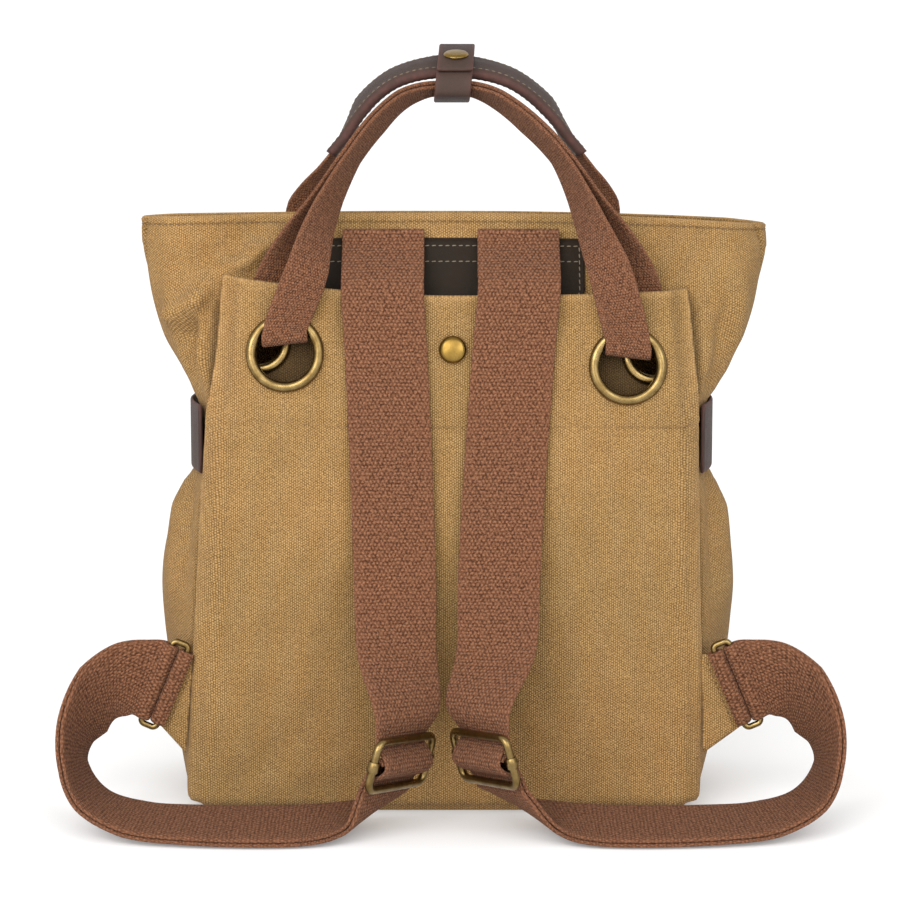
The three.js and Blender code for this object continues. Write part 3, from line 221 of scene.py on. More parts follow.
# Shoulder straps: stub on the yoke, fold, hang, weave through the slider, curl to the ring
STRAP_TOP = 322
STRAP_X = {"top": 37, "left": 29, "right": 24}
STRAP_STUB = (296, 305, 313)
STRAP_FOLD = {"radius": 1.8, "drop": 3, "lift": 0.6, "leave_out": 5.5, "leave_down": 8}

# Hang of a strap: share of its way to the lower X, share of its turn to the slider's width, y and z
STRAP_HANG = (
    (0.0, 0, -61, 290),
    (0.2, 0, -65, 262),
    (0.4, 0, -67.5, 228),
    (0.65, 0.03, -71.5, 180),
    (0.85, 0.12, -80, 132),
    (1.0, 0.35, -94, 96),
)
WEAVE = {"dip": 0.72, "dip_depth": 0.8, "climb": 0.35, "climb_height": 0.55, "turn_above": 0.7}
WEAVE_RUN = {"above": 14, "below": 5, "lead": 2, "rear": 0.8}

# Curl of a strap from the slider to the ring: place and direction of the width
STRAP_CURL = (
    (45, -109, 13, 0.42, -0.9, -0.1),
    (60, -111.5, 9, 0.2, -0.97, -0.15),
    (80, -114, 7.2, 0.02, -0.985, -0.16),
    (105, -115, 7, 0, -0.987, -0.16),
    (138, -113, 7.2, 0.05, -0.987, -0.14),
    (172, -107, 9, 0.12, -0.985, -0.1),
    (195, -97, 17, 0.2, -0.97, 0.05),
    (206, -84, 32, 0.14, -0.97, 0.14),
    (206, -72, 48.5, 0.24, -0.84, 0.46),
    (197, -63, 64, 0.22, -0.42, 0.88),
    (184.5, -60, 74, -0.07, -0.22, 0.97),
)

# Canvas tabs at the bag's sides and the webbing sleeves on them
TAB = {"reach": -3, "top": 20, "bottom": -22, "seam_out": 6.3, "seam_top": 88, "seam_bottom": 34}
TAB_GRID = {"rows": 20, "columns": 12}
TAB_STITCHES = {"inset": 3.2, "sink": 0.1}
SLEEVE = {"width": 44, "tail": 4, "fluff": 0.9}

# Degrees at which a strip's rows stand on its turns
TURN_ANGLES = {
    "fold": (0, 45, 90, 135, 180),
    "ring": (-10, 20, 50, 90, 130, 160, 190),
    "bar": (0, 40, 80, 120, 160),
    "sleeve": (-20, 15, 50, 90, 130, 165, 200),
    "grommet": (0, 30, 60, 90, 120, 150, 180),
}

# Handles: rows for each given row of an arch, and the bend through a grommet
ARCH_STEPS = 2
HANDLE_BEND = {"drop": 11, "leg": 5.4, "tilt": 0.12}

# Arches: left and right distance from the middle, y, z, and the direction of the width
NEAR_ARCH = (
    (77, 85, -69, 302, 0.83, 0.4, -0.39),
    (71, 76, -60, 324, 0.55, 0.7, -0.45),
    (63.5, 68.5, -49, 342, 0.33, 0.84, -0.43),
    (53, 58.4, -37, 361, 0.2, 0.93, -0.3),
    (39.5, 41.5, -24, 378.5, 0.2, 0.93, -0.32),
    (26, 25, -11, 391, 0.1, 0.95, -0.3),
    (12, 12, -3, 396, 0.02, 0.975, -0.2),
)
NEAR_CROWN = ((1, -2, 396.6), (0, 0.985, -0.14))

# Leg behind the panel: x from the grommet, y, z, and the direction of the width
NEAR_REAR_LEG = (
    (7, -49.5, 284, 1, 0, 0),
    (4, -47.5, 298, 0.93, 0.35, -0.1),
    (-5, -46, 316, 0.64, 0.7, -0.3),
    (-19, -42.5, 336, 0.36, 0.83, -0.43),
)
NEAR_REAR_JOIN = 3

# Far handle: rows sewn to the far wall, then its arch
FAR_WALL_ROWS = (252, 270, 290, 308)
FAR_WALL = {"x": 82, "lift": 0.6}
FAR_ARCH = (
    (80, 83, 9, 333, 0.9, 0.4, -0.15),
    (69, 75, 13, 352, 0.45, 0.88, -0.1),
    (59.3, 65.5, 13, 370, 0.05, 0.99, 0),
    (49.5, 53.5, 11, 388.5, -0.16, 0.97, 0.15),
    (32.5, 34.5, 9, 403, -0.1, 0.965, 0.22),
    (13, 14, 7.5, 409, 0, 0.96, 0.28),
)
FAR_CROWN = ((1, 7, 410), (0, 0.94, 0.34))

# Stitches: sides of the thread, its bow as share of the length, swell and lift, and its lean
STITCH_SIDES = 6
STITCH_BOW = ((-0.5, 0.55, -0.5), (-0.3, 0.95, 0.35), (0, 1, 0.6), (0.3, 0.95, 0.35), (0.5, 0.55, -0.5))
STITCH_LEAN = {"swing": 0.12, "rate": 1.7, "base": 0.1}
STITCH_NORMAL_REACH = 4

# How far the wear of a strip's edges reaches over its faces
EDGE_WEAR_REACH = 1.2

# Layers of noise on the yarns: scale per metre, detail and roughness, then the reach up and down
CANVAS_YARN = (((1150.0, 2.0, 0.7), 0.34), ((480.0, 2.0, 0.6), 0.13))
WEBBING_GRAIN = (((1100.0, 3.0, 0.7), 0.5), ((420.0, 2.0, 0.6), 0.3))
WANDER = {"scale": 260.0, "detail": 3.0, "canvas": 0.0011, "webbing": 0.0021}

# Tints of the finishes: shares of the base colour's red, green and blue
# Gaps and crowns of the canvas yarns: partly their own tone, partly painted shade in the gaps and painted
# highlight on the crowns
CANVAS_TINTS = {"gaps": (0.46, 0.41, 0.33), "crowns": (1.52, 1.56, 1.64), "rubbed": (1.45, 1.45, 1.5)}
CANVAS_MOTTLE = {
    "broad": ((0.89, 0.92, 0.89), (1.03, 1.0, 0.95)),
    "patches": ((1.03, 1.04, 1.05), (0.88, 0.85, 0.8)),
}
# Gaps and crowns of the webbing's grains: partly their own tone, partly painted shade in the gaps and painted
# highlight on the crowns
WEBBING_TINTS = {"gaps": (0.33, 0.27, 0.23), "crowns": (1.6, 1.66, 1.7), "edges": (1.2, 1.15, 1.15)}
WEBBING_MOTTLE = ((0.94, 0.95, 0.95), (1.0, 0.98, 0.95))
LEATHER_CLOUDS = ((0.82, 0.82, 0.84), (1.15, 1.14, 1.12))
LEATHER_TINTS = {"scuffs": (1.7, 1.65, 1.6), "pores": (0.6, 0.6, 0.6)}
THREAD_TWIST = ((0.65, 0.62, 0.6), (1.12, 1.12, 1.1))
PANEL_THREAD_TINT = (1.8, 1.9, 2.0)
BRASS_TINTS = {"browned": (0.42, 0.36, 0.26), "stud": (1.0, 0.9, 0.55)}
FLOOR_CLOUD = 0.985

# Photograph's camera: aim point and distance in metres, elevation in degrees, lens and sensor in millimetres
CAMERA = {"aim": (-0.0005, -0.062, 0.203), "distance": 1.5, "elevation": 8.0, "lens": 110.13, "sensor": 36}

# Studio: floor size and distance of the backdrop in metres, their glow, and the strengths of the light
STAGE = {"floor": 60, "backdrop": 12, "glow": 0.16, "surroundings": 0.9, "key": 84, "fill": 48}
# Painted shade on the floor near the bag, offsetting the softboxes' light there: its tone at the middle and
# the distances over which it fades out
FLOOR_TONE = {"near": 0.78, "start": 0.2, "end": 2.6}
SOFTBOX = {"x": {"key": -1.15, "fill": 1.25}, "y": -2.3, "z": 1.3, "aim": (0, 0, 0.15), "size": 2.2}


def linear(red, green, blue):
    """Scene-linear colour of a display colour given in 0 to 255."""
    shares = [value / 255 for value in (red, green, blue)]
    return tuple(s / 12.92 if s <= 0.04045 else ((s + 0.055) / 1.055) ** 2.4 for s in shares)


def length_property(name, description, default):
    """A size in metres, shown in the scene's length unit."""
    return bpy.props.FloatProperty(name=name, description=description, default=default, min=0, unit="LENGTH")


def colour_property(name, description, default):
    """A scene-linear colour."""
    return bpy.props.FloatVectorProperty(
        name=name, description=description, default=default, min=0, max=1, size=3, subtype="COLOR")


# Colours that are not settings: the painted shade inside the pocket, in the seam crease and in the stitch
# groove, and the rubbed edges of the two leathers
PAINTED_SHADE = linear(35, 26, 15)
DARK_LEATHER_EDGE = linear(68, 57, 49)
BROWN_LEATHER_EDGE = linear(94, 60, 55)


class BackpackSizes(bpy.types.PropertyGroup):
    """Cloth, webbing, leather and thread sizes."""

    canvas: length_property("Canvas", "Thickness of the canvas", 0.002)
    webbing: length_property("Webbing", "Thickness of the webbing", 0.0022)
    leather: length_property("Leather", "Thickness of the leather", 0.002)
    strap_width: length_property("Strap width", "Width of the shoulder straps", 0.045)
    handle_width: length_property("Handle width", "Width of the handle webbing", 0.025)
    stitch_length: length_property("Stitch length", "Length of one stitch", 0.0026)
    stitch_pitch: length_property("Stitch pitch", "Distance from one stitch to the next", 0.0037)
    thread: length_property("Thread", "Thickness of the thread", 0.00064)
    canvas_yarn: length_property("Canvas yarn", "Width of one crossing in the canvas weave", 0.00118)
    webbing_yarn: length_property("Webbing yarn", "Width of one grain of the shoulder webbing", 0.0022)
    handle_yarn: length_property("Handle yarn", "Width of one grain of the handle webbing", 0.0016)


class BackpackColours(bpy.types.PropertyGroup):
    """Colours of the cloth, leather, brass, thread and floor."""

    canvas: colour_property("Canvas", "Tan of the canvas", linear(143, 113, 73))
    webbing: colour_property("Webbing", "Reddish brown of the webbing", linear(125, 84, 60))
    leather_dark: colour_property("Dark leather", "Very dark brown of the yoke", linear(30, 21, 11))
    leather_brown: colour_property("Brown leather", "Brown of the other leather", linear(60, 47, 42))
    brass: colour_property("Brass", "Antique brass", linear(138, 117, 76))
    canvas_thread: colour_property("Canvas thread", "Thread of the canvas seams", linear(98, 72, 40))
    leather_thread: colour_property("Leather thread", "Thread of the leather seams", linear(116, 103, 84))
    floor: colour_property("Floor", "Pale studio floor", linear(246, 246, 246))


class SmoothTable:
    """Columns of numbers looked up by the first one, on a curve that never overshoots its rows."""

    def __init__(self, columns, rows):
        values = np.array(rows, float)
        self.keys = values[:, 0]
        self.curves = {}
        for name, column in zip(columns[1:], values.T[1:]):
            self.curves[name] = (column, self.tangents(column))

    def tangents(self, column):
        slopes = np.diff(column) / np.diff(self.keys)
        product = slopes[:-1] * slopes[1:]
        total = np.where(product > 0, slopes[:-1] + slopes[1:], 1)
        inner = np.where(product > 0, 2 * product / total, 0)
        return np.concatenate([slopes[:1], inner, slopes[-1:]])

    def at(self, name, key):
        column, tangents = self.curves[name]
        key = np.clip(key, self.keys[0], self.keys[-1])
        i = np.clip(np.searchsorted(self.keys, key, side="right") - 1, 0, len(self.keys) - 2)
        span = self.keys[i + 1] - self.keys[i]
        t = (key - self.keys[i]) / span
        rise = t * t * (3 - 2 * t)
        start = (t ** 3 - 2 * t ** 2 + t) * span * tangents[i]
        end = (t ** 3 - t ** 2) * span * tangents[i + 1]
        return (1 - rise) * column[i] + rise * column[i + 1] + start + end


BODY = SmoothTable(BODY_COLUMNS, BODY_SECTIONS)
LEAN = SmoothTable(("z", "shift"), LEAN_SHIFT)
GIRTH = SmoothTable(("z", "girth"), PANEL_GIRTH)
STANDOFF = SmoothTable(("z", "gap"), PANEL_STANDOFF)
TOP_EDGE = SmoothTable(("x", "z"), PANEL_TOP)


def ease(start, end, value):
    """Smooth step from 0 at start to 1 at end."""
    t = np.clip((value - start) / (end - start), 0, 1)
    return t * t * (3 - 2 * t)


def unit(vector):
    """Vector of length one in the same direction."""
    return vector / np.linalg.norm(vector)


def vector(*values):
    """Numpy vector of the given numbers."""
    return np.array(values, float)


def in_mm(sizes, *names):
    """Named sizes in millimetres."""
    return [getattr(sizes, name) / MM for name in names]


def ridge(distance, width):
    """Height of a rounded ridge, 1 on its line."""
    return np.exp(-((distance / width) ** 2))


def walked_lengths(places):
    """Length walked from the first place to each place."""
    return np.concatenate([[0], np.cumsum(np.linalg.norm(np.diff(places, axis=0), axis=1))])


def cloth_noise(points, size):
    """Smooth noise from -1 to 1 at points, with lumps of the given size."""
    return np.array([noise.noise(Vector(point) / size) for point in points])


def fold_field(folds, across, up):
    """Summed height of the folds at places; each fold is a ridge line with a width and a height."""
    height = np.zeros(np.broadcast(across, up).shape)
    for x1, z1, x2, z2, width, rise in folds:
        run = (x2 - x1) ** 2 + (z2 - z1) ** 2
        share = np.clip(((across - x1) * (x2 - x1) + (up - z1) * (z2 - z1)) / run, 0, 1)
        distance = np.hypot(across - x1 - share * (x2 - x1), up - z1 - share * (z2 - z1))
        height += rise * ridge(distance, width)
    return height


# Meshes
def signed_volume(points, faces):
    """Volume inside a closed mesh, negative where its faces point inwards."""
    total = 0.0
    for face in faces:
        a = points[face[0]]
        for j, k in zip(face[1:], face[2:]):
            total += np.dot(a, np.cross(points[j], points[k]))
    return total / 6


def closed_piece(name, points, faces, corners, wear=None):
    """Object at the origin from points in millimetres; corners has a cloth position for each face corner."""
    points = np.asarray(points, float)
    sample = faces[::BIG_MESH_STEP] if len(faces) > BIG_MESH else faces
    if signed_volume(points, sample) < 0:
        faces = [face[::-1] for face in faces]
        corners = [corner[::-1] for corner in corners]
    mesh = bpy.data.meshes.new(name)
    mesh.from_pydata((points * MM).tolist(), [], faces)
    layer = mesh.uv_layers.new(name=CLOTH_UV)
    flat = np.concatenate([np.asarray(corner, np.float32) for corner in corners])
    layer.data.foreach_set("uv", (flat * MM).ravel())
    attribute = mesh.attributes.new(WEAR_AND_PAINTED_SHADE, "FLOAT", "POINT")
    values = np.zeros(len(points)) if wear is None else np.asarray(wear, float)
    attribute.data.foreach_set("value", values.astype(np.float32))
    mesh.shade_smooth()
    piece = bpy.data.objects.new(name, mesh)
    bpy.context.scene.collection.objects.link(piece)
    return piece


def loft(name, rings, cloth, wear=None, looped=False):
    """Closed tube through rings of points; cloth has one more column than the rings. Ends close in a fan."""
    rows, columns = rings.shape[:2]
    points = rings.reshape(-1, 3)
    faces = []
    corners = []
    last = rows if looped else rows - 1
    for i in range(last):
        k = (i + 1) % rows
        for j in range(columns):
            m = (j + 1) % columns
            faces.append((i * columns + j, i * columns + m, k * columns + m, k * columns + j))
            corners.append((cloth[i, j], cloth[i, j + 1], cloth[k, j + 1], cloth[k, j]))
    values = np.zeros(len(points)) if wear is None else wear.ravel()
    if not looped:
        for row, order in ((0, 1), (rows - 1, -1)):
            middle = len(points)
            points = np.vstack([points, rings[row].mean(axis=0)])
            values = np.append(values, values[row * columns])
            centre = cloth[row].mean(axis=0)
            for j in range(columns):
                m = (j + 1) % columns
                fan = (middle, row * columns + m, row * columns + j)
                faces.append(fan[::order])
                corners.append((centre, cloth[row, j + 1], cloth[row, j])[::order])
    return closed_piece(name, points, faces, corners, values)


def soft_sheet(name, rows, columns, outer, inner, cloth, wear=None, lip=0.45):
    """Sheet between two matching grids of points, its edges rounded by a lip at half depth."""
    outer, inner, cloth = (np.array(grid).reshape(rows, columns, -1) for grid in (outer, inner, cloth))
    count = rows * columns
    border = [(0, j) for j in range(columns)]
    border += [(i, columns - 1) for i in range(1, rows)]
    border += [(rows - 1, j) for j in range(columns - 2, -1, -1)]
    border += [(i, 0) for i in range(rows - 2, 0, -1)]
    thickness = np.linalg.norm(outer - inner, axis=2).mean()
    edge = []
    for i, j in border:
        back = (min(max(i, 1), rows - 2), min(max(j, 1), columns - 2))
        outward = unit(outer[i, j] - outer[back])
        edge.append((outer[i, j] + inner[i, j]) / 2 + outward * lip * thickness)
    points = np.vstack([outer.reshape(-1, 3), inner.reshape(-1, 3), edge])
    faces = []
    corners = []
    for i in range(rows - 1):
        for j in range(columns - 1):
            cell = (i * columns + j, i * columns + j + 1, (i + 1) * columns + j + 1, (i + 1) * columns + j)
            corner = (cloth[i, j], cloth[i, j + 1], cloth[i + 1, j + 1], cloth[i + 1, j])
            faces.append(cell)
            corners.append(corner)
            faces.append(tuple(count + index for index in cell[::-1]))
            corners.append(corner[::-1])
    for k, (i, j) in enumerate(border):
        after = (k + 1) % len(border)
        p, q = border[after]
        here, there = i * columns + j, p * columns + q
        rim, next_rim = 2 * count + k, 2 * count + after
        flat = (cloth[i, j], cloth[i, j], cloth[p, q], cloth[p, q])
        faces.append((here, rim, next_rim, there))
        corners.append(flat)
        faces.append((rim, count + here, count + there, next_rim))
        corners.append(flat)
    values = np.zeros(len(points))
    if wear is not None:
        values[:2 * count] = np.tile(wear, 2)
    values[2 * count:] = 1
    return closed_piece(name, points, faces, corners, values)


def strip_section(width, thickness, across=9, turn=4):
    """Outline of a flat strip with rounded edges."""
    radius = thickness / 2
    half = width / 2 - radius
    face = np.linspace(-half, half, across)
    angles = np.linspace(90, -90, turn + 2)[1:-1]
    edge = [(half + radius * math.cos(math.radians(a)), radius * math.sin(math.radians(a))) for a in angles]
    top = [(a, radius) for a in face]
    outline = top + edge + [(-a, -b) for a, b in top] + [(-a, -b) for a, b in edge]
    return np.array(outline)


def travel_of(places):
    """Direction of travel at each place of a route."""
    after = np.vstack([places[1:], places[-1:]])
    before = np.vstack([places[:1], places[:-1]])
    travel = after - before
    return travel / np.linalg.norm(travel, axis=1)[:, None]


def route_arrays(rows):
    """Places, width directions and face normals of a route's rows."""
    places = np.array([row[0] for row in rows], float)
    widths = np.array([unit(row[1]) for row in rows])
    normals = np.cross(travel_of(places), widths)
    normals /= np.linalg.norm(normals, axis=1)[:, None]
    return places, widths, normals


def strip_rings(rows, section):
    """Rings of a section carried along a route, and the cloth positions on them."""
    places, widths, normals = route_arrays(rows)
    rings = (places[:, None] + section[None, :, :1] * widths[:, None]
             + section[None, :, 1:] * normals[:, None])
    closed = np.vstack([section, section[:1]])
    around, along = walked_lengths(closed), walked_lengths(places)
    cloth = np.stack(np.broadcast_arrays(around[None, :], along[:, None]), axis=2)
    return rings, cloth


def strip_wear(section, width, count):
    """Wear that is full on a strip's two edges and fades over its faces."""
    inset = width / 2 - np.abs(section[:, 0])
    return np.tile(np.exp(-inset / EDGE_WEAR_REACH), (count, 1))


def strip_piece(name, rows, width, thickness, across=9):
    """Webbing or leather strip along a route."""
    section = strip_section(width, thickness, across)
    rings, cloth = strip_rings(rows, section)
    return loft(name, rings, cloth, strip_wear(section, width, len(rings)))


def smooth_route(rows, steps):
    """Extra rows on a smooth curve through the given rows."""
    places = np.array([row[0] for row in rows], float)
    widths = np.array([unit(row[1]) for row in rows])
    knots = np.vstack([2 * places[0] - places[1], places, 2 * places[-1] - places[-2]])
    gaps = np.sqrt(np.maximum(np.linalg.norm(np.diff(knots, axis=0), axis=1), 1e-6))
    made = []
    for i in range(len(rows) - 1):
        p0, p1, p2, p3 = knots[i:i + 4]
        d0, d1, d2 = gaps[i:i + 3]
        start = ((p1 - p0) / d0 - (p2 - p0) / (d0 + d1) + (p2 - p1) / d1) * d1
        end = ((p2 - p1) / d1 - (p3 - p1) / (d1 + d2) + (p3 - p2) / d2) * d1
        for k in range(steps):
            t = k / steps
            bend = (3 * (p2 - p1) - 2 * start - end) * t ** 2 + (2 * (p1 - p2) + start + end) * t ** 3
            made.append((p1 + start * t + bend, unit((1 - t) * widths[i] + t * widths[i + 1])))
    made.append((places[-1], widths[-1]))
    return made


def shifted(rows, distance):
    """Rows moved along their own face normals."""
    places, widths, normals = route_arrays(rows)
    return list(zip(places + distance * normals, widths))


def half_turn(centre, start, through, radius, width, angles):
    """Rows on an arc round a centre, from one direction through another."""
    rows = []
    for degrees in angles:
        angle = math.radians(degrees)
        rows.append((centre + radius * (math.cos(angle) * start + math.sin(angle) * through), width))
    return rows


# Stitches
def stitch_seam(name, runs, sizes):
    """Stitches along runs of (places, normals), all of one seam in one mesh."""
    length, pitch, thread = in_mm(sizes, "stitch_length", "stitch_pitch", "thread")
    shape = stitch_shape(length, thread / 2)
    faces = stitch_faces()
    points = []
    polygons = []
    for places, normals in runs:
        walked = walked_lengths(places)
        for s in np.arange(pitch / 2, walked[-1], pitch):
            ends = [np.array([np.interp(at, walked, places[:, axis]) for axis in range(3)])
                    for at in (s - length / 2, s, s + length / 2)]
            normal = unit(np.array([np.interp(s, walked, normals[:, axis]) for axis in range(3)]))
            along = unit(ends[2] - ends[0])
            across = np.cross(normal, along)
            lean = STITCH_LEAN["swing"] * math.sin(STITCH_LEAN["rate"] * s) + STITCH_LEAN["base"]
            along, across = along + lean * across, across - lean * along
            first = len(points)
            for a, b, c in shape:
                points.append(ends[1] + a * along + b * across + c * normal)
            polygons.extend(tuple(first + index for index in face) for face in faces)
    corners = [[(0, 0)] * len(face) for face in polygons]
    return closed_piece(name, points, polygons, corners)


def stitch_shape(length, radius):
    """Points of one stitch: a short thread whose ends dip into the cloth."""
    shape = []
    for share, swell, lift in STITCH_BOW:
        for k in range(STITCH_SIDES):
            angle = math.tau * k / STITCH_SIDES
            shape.append((share * length, swell * radius * math.cos(angle),
                          lift * radius + swell * radius * math.sin(angle)))
    return shape


def stitch_faces():
    """Faces of one stitch: a band between each two rings and a cap at each end."""
    faces = []
    last = (len(STITCH_BOW) - 1) * STITCH_SIDES
    for first in range(0, last, STITCH_SIDES):
        after = first + STITCH_SIDES
        for k in range(STITCH_SIDES):
            m = (k + 1) % STITCH_SIDES
            faces.append((first + k, first + m, after + m, after + k))
    faces.append(tuple(range(STITCH_SIDES - 1, -1, -1)))
    faces.append(tuple(range(last, last + STITCH_SIDES)))
    return faces


# Canvas body
def back_y(z):
    """Y of the back wall at a height."""
    return BODY.at("back", z)


def front_y(z, x):
    """Y of the front wall at a height and place."""
    corner = BODY.at("front_left" if x < 0 else "front_right", z)
    middle = BODY.at("front_mid", z)
    return middle + (corner - middle) * (x / BODY.at("wall", z)) ** 2


def rim_drop(x, z):
    """How far the rim sinks towards its two ends."""
    height = np.clip((z - RIM_DROP["start"]) / (RIM_HEIGHT - RIM_DROP["start"]), 0, None)
    end = np.where(x < 0, RIM_DROP["left"], RIM_DROP["right"])
    return end * height ** RIM_DROP["power"] * (x / RIM_DROP["half_width"]) ** 2


def corner_curve(start, corner, end, steps):
    """Inner points of a rounded corner."""
    t = np.linspace(0, 1, steps + 1)[1:-1, None]
    return (1 - t) ** 2 * start + 2 * t * (1 - t) * corner + t ** 2 * end


@lru_cache(maxsize=None)
def half_plan(z, side):
    """Plan of half a section, from the middle of the back wall to the middle of the front wall."""
    back, wall, gusset, corner = (float(BODY.at(name, z)) for name in ("back", "wall", "gusset", "corner"))
    front = float(BODY.at("front_left" if side < 0 else "front_right", z))
    bulge = gusset - wall
    wall += side * float(LEAN.at("shift", z))
    flat = wall - corner
    turn = corner / (front - back)
    shares = np.linspace(turn, 1 - turn, BODY_STEPS["gusset"] + 1)
    gusset_points = np.column_stack([wall + bulge * np.sin(math.pi * shares), back + (front - back) * shares])
    back_x = np.linspace(0, flat, BODY_STEPS["back"] + 1)
    back_points = np.column_stack([back_x, np.full_like(back_x, back)])
    front_x = np.linspace(flat, 0, BODY_STEPS["front"] + 1)
    front_points = np.column_stack([front_x, [front_y(z, side * x if x else side * 1e-6) for x in front_x]])
    near = corner_curve(back_points[-1], vector(wall, back), gusset_points[0], BODY_STEPS["corner"])
    far = corner_curve(gusset_points[-1], vector(wall, front), front_points[0], BODY_STEPS["corner"])
    return np.vstack([back_points, near, gusset_points, far, front_points])


def body_plan(z):
    """Closed plan from the front's middle round the left side and the back to the front's middle again."""
    left = half_plan(z, -1) * (-1, 1)
    return np.vstack([left[::-1], half_plan(z, 1)[1:]])


def wall_fold_height(x, y, z):
    """Outward height of the soft folds at places of one height."""
    back = back_y(z)
    front = BODY.at("front_mid", z)
    half = panel_half(x, z)
    near_back = 1 - ease(back, back + FOLD_FADE["depth"], y)
    beside = ease(half + FOLD_FADE["side"][0], half + FOLD_FADE["side"][1], np.abs(x))
    above = ease(*FOLD_FADE["top"], z - TOP_EDGE.at("z", x))
    folds = fold_field(WALL_FOLDS, x, z) * near_back * np.maximum(beside, above)
    wall = BODY.at("wall", z) + np.sign(x) * LEAN.at("shift", z)
    on_side = ease(wall + PLEAT_FADE[0], wall + PLEAT_FADE[1], np.abs(x))
    depth = (y - back) / (front - back)
    lines = [(a, b * PLEAT_SCALE, c, d * PLEAT_SCALE, width, rise) for a, b, c, d, width, rise in PLEATS]
    pleats = fold_field(lines, depth, z * PLEAT_SCALE)
    loose = np.maximum(beside * on_side, np.maximum(above, 1 - near_back))
    points = np.column_stack([x, y, np.full_like(x, z)])
    ripple = sum(height * cloth_noise(points, size) for height, size in RIPPLE_LUMPS)
    return folds + pleats * on_side * beside + ripple * loose * ease(0, RIPPLE_FULL, z)


def body_ring(z, inset):
    """One ring of body points at a height, moved inwards by an inset, and its cloth positions."""
    plan = body_plan(z)
    along = np.roll(plan[:-1], -1, axis=0) - np.roll(plan[:-1], 1, axis=0)
    along /= np.linalg.norm(along, axis=1)[:, None]
    x, y = plan[:-1].T
    outward = wall_fold_height(x, y, z) - inset
    around = walked_lengths(plan)
    around -= around[len(half_plan(z, -1)) - 1]
    outward -= SEAM_CREASE["depth"] * seam_crease(around[:-1], z)
    height = z - rim_drop(x, z)
    return np.column_stack([x + along[:, 1] * outward, y - along[:, 0] * outward, height]), around


def seam_crease(around, z):
    """Share of the deep crease along the panel's side seam at places round a ring."""
    beyond = np.abs(around) - panel_half(around, z)
    lower, upper = ease(*SEAM_CREASE["foot"], z), 1 - ease(*SEAM_CREASE["top"], z)
    return ridge(beyond - SEAM_CREASE["out"], SEAM_CREASE["width"]) * lower * upper


def hem_groove(z):
    """Dent of the stitch row below the rim and the swell of the doubled hem around it."""
    line = RIM_HEIGHT - HEM["stitch_drop"]
    edge = RIM_HEIGHT - HEM["depth"]
    swell = HEM_SWELL["height"] * ease(edge - HEM_SWELL["run"], edge + HEM_SWELL["run"], z)
    return HEM["groove"] * ridge(z - line, HEM["groove_width"]) - swell


def body_heights():
    """Heights of the outer rows, close together at the foot and at the hem."""
    middle = np.arange(BODY_FOOT_ROWS[-1] + BODY_ROW_STEP, RIM_HEIGHT - HEM_ROWS["start"], BODY_ROW_STEP)
    hem = np.arange(RIM_HEIGHT - HEM_ROWS["first"], RIM_HEIGHT - HEM_ROWS["last"], HEM_ROWS["step"])
    return np.concatenate([BODY_FOOT_ROWS, middle, hem])


def pocket_shade_share(ring, z):
    """Share of painted shade at the points of a ring: full on the back wall under the pocket panel."""
    x, y = ring[:, 0], ring[:, 1]
    half = panel_half(x, z)
    side, foot, top = (POCKET_SHADE[name] for name in ("side", "foot", "top"))
    covered = 1 - ease(half + side[0], half + side[1], np.abs(x))
    on_back = y < back_y(z) + POCKET_SHADE["depth"]
    return covered * on_back * ease(*foot, z) * (1 - ease(*top, z))


def bag_rub_and_shade(z):
    """Wear of the canvas at a height: most at the rim and some at the foot; along the stitch row it falls
    below zero as painted shade in the groove.
    """
    rim = math.exp(-(RIM_HEIGHT - z) / BAG_RUB_AND_SHADE["rim"])
    foot = BAG_RUB_AND_SHADE["foot_share"] * math.exp(-z / BAG_RUB_AND_SHADE["foot"])
    line = RIM_HEIGHT - HEM["stitch_drop"]
    # Painted shade along the stitch row's groove
    return rim + foot - BAG_RUB_AND_SHADE["stitch_shade"] * ridge(z - line, BAG_RUB_AND_SHADE["stitch"])


def build_bag(sizes):
    """Canvas body: a lofted bag with a hemmed rim, open at the top."""
    wall = sizes.canvas / MM
    rings = []
    cloth = []
    wear = []

    def add(z, inset, lift, drop, rub_and_shade):
        ring, around = body_ring(z, inset)
        ring[:, 2] += lift
        rings.append(ring)
        cloth.append(np.column_stack([around, np.full(len(around), drop)]))
        # Painted shade inside the pocket and in the seam crease, stored below zero
        dark = 0
        if inset < wall / 2:
            # Painted shade in the crease beside the panel's seam
            creased = SEAM_CREASE["dark"] * seam_crease(around[:-1], z)
            dark = np.maximum(pocket_shade_share(ring, z), creased)
        wear.append(rub_and_shade * np.ones(len(ring)) - dark)

    for share in BASE_RINGS["shares"]:
        ring, around = body_ring(0, 0)
        rings.append(ring * (share, share, 1) + (0, 0, BASE_RINGS["rise"] * (1 - share)))
        drop = BASE_RINGS["cloth"] * (share - 1)
        cloth.append(np.column_stack([around * share, np.full(len(around), drop)]))
        wear.append(np.zeros(len(ring)))
    heights = body_heights()
    for z in heights:
        add(z, hem_groove(z), 0, z, bag_rub_and_shade(z))
    for inset, lift in RIM_LIP:
        add(RIM_HEIGHT, inset, lift, RIM_HEIGHT + inset, 1)
    hem_edge = RIM_HEIGHT - HEM["depth"]
    for z in heights[::-1]:
        skipped = z < RIM_HEIGHT - INSIDE_ROWS["hem"] and int(z / BODY_ROW_STEP) % INSIDE_ROWS["every"]
        if z < 2 * wall or skipped:
            continue
        turned = HEM["extra"] * ease(hem_edge - 1, hem_edge + 1, z)
        add(z, wall + turned, 0, 2 * RIM_HEIGHT - z, 0)
    add(wall, wall + 1, 0, 2 * RIM_HEIGHT, 0)
    bag = loft("canvas_bag", np.array(rings), np.array(cloth), np.array(wear))
    finish_piece(bag, "canvas_cloth", "canvas", "body_shell")
    return bag


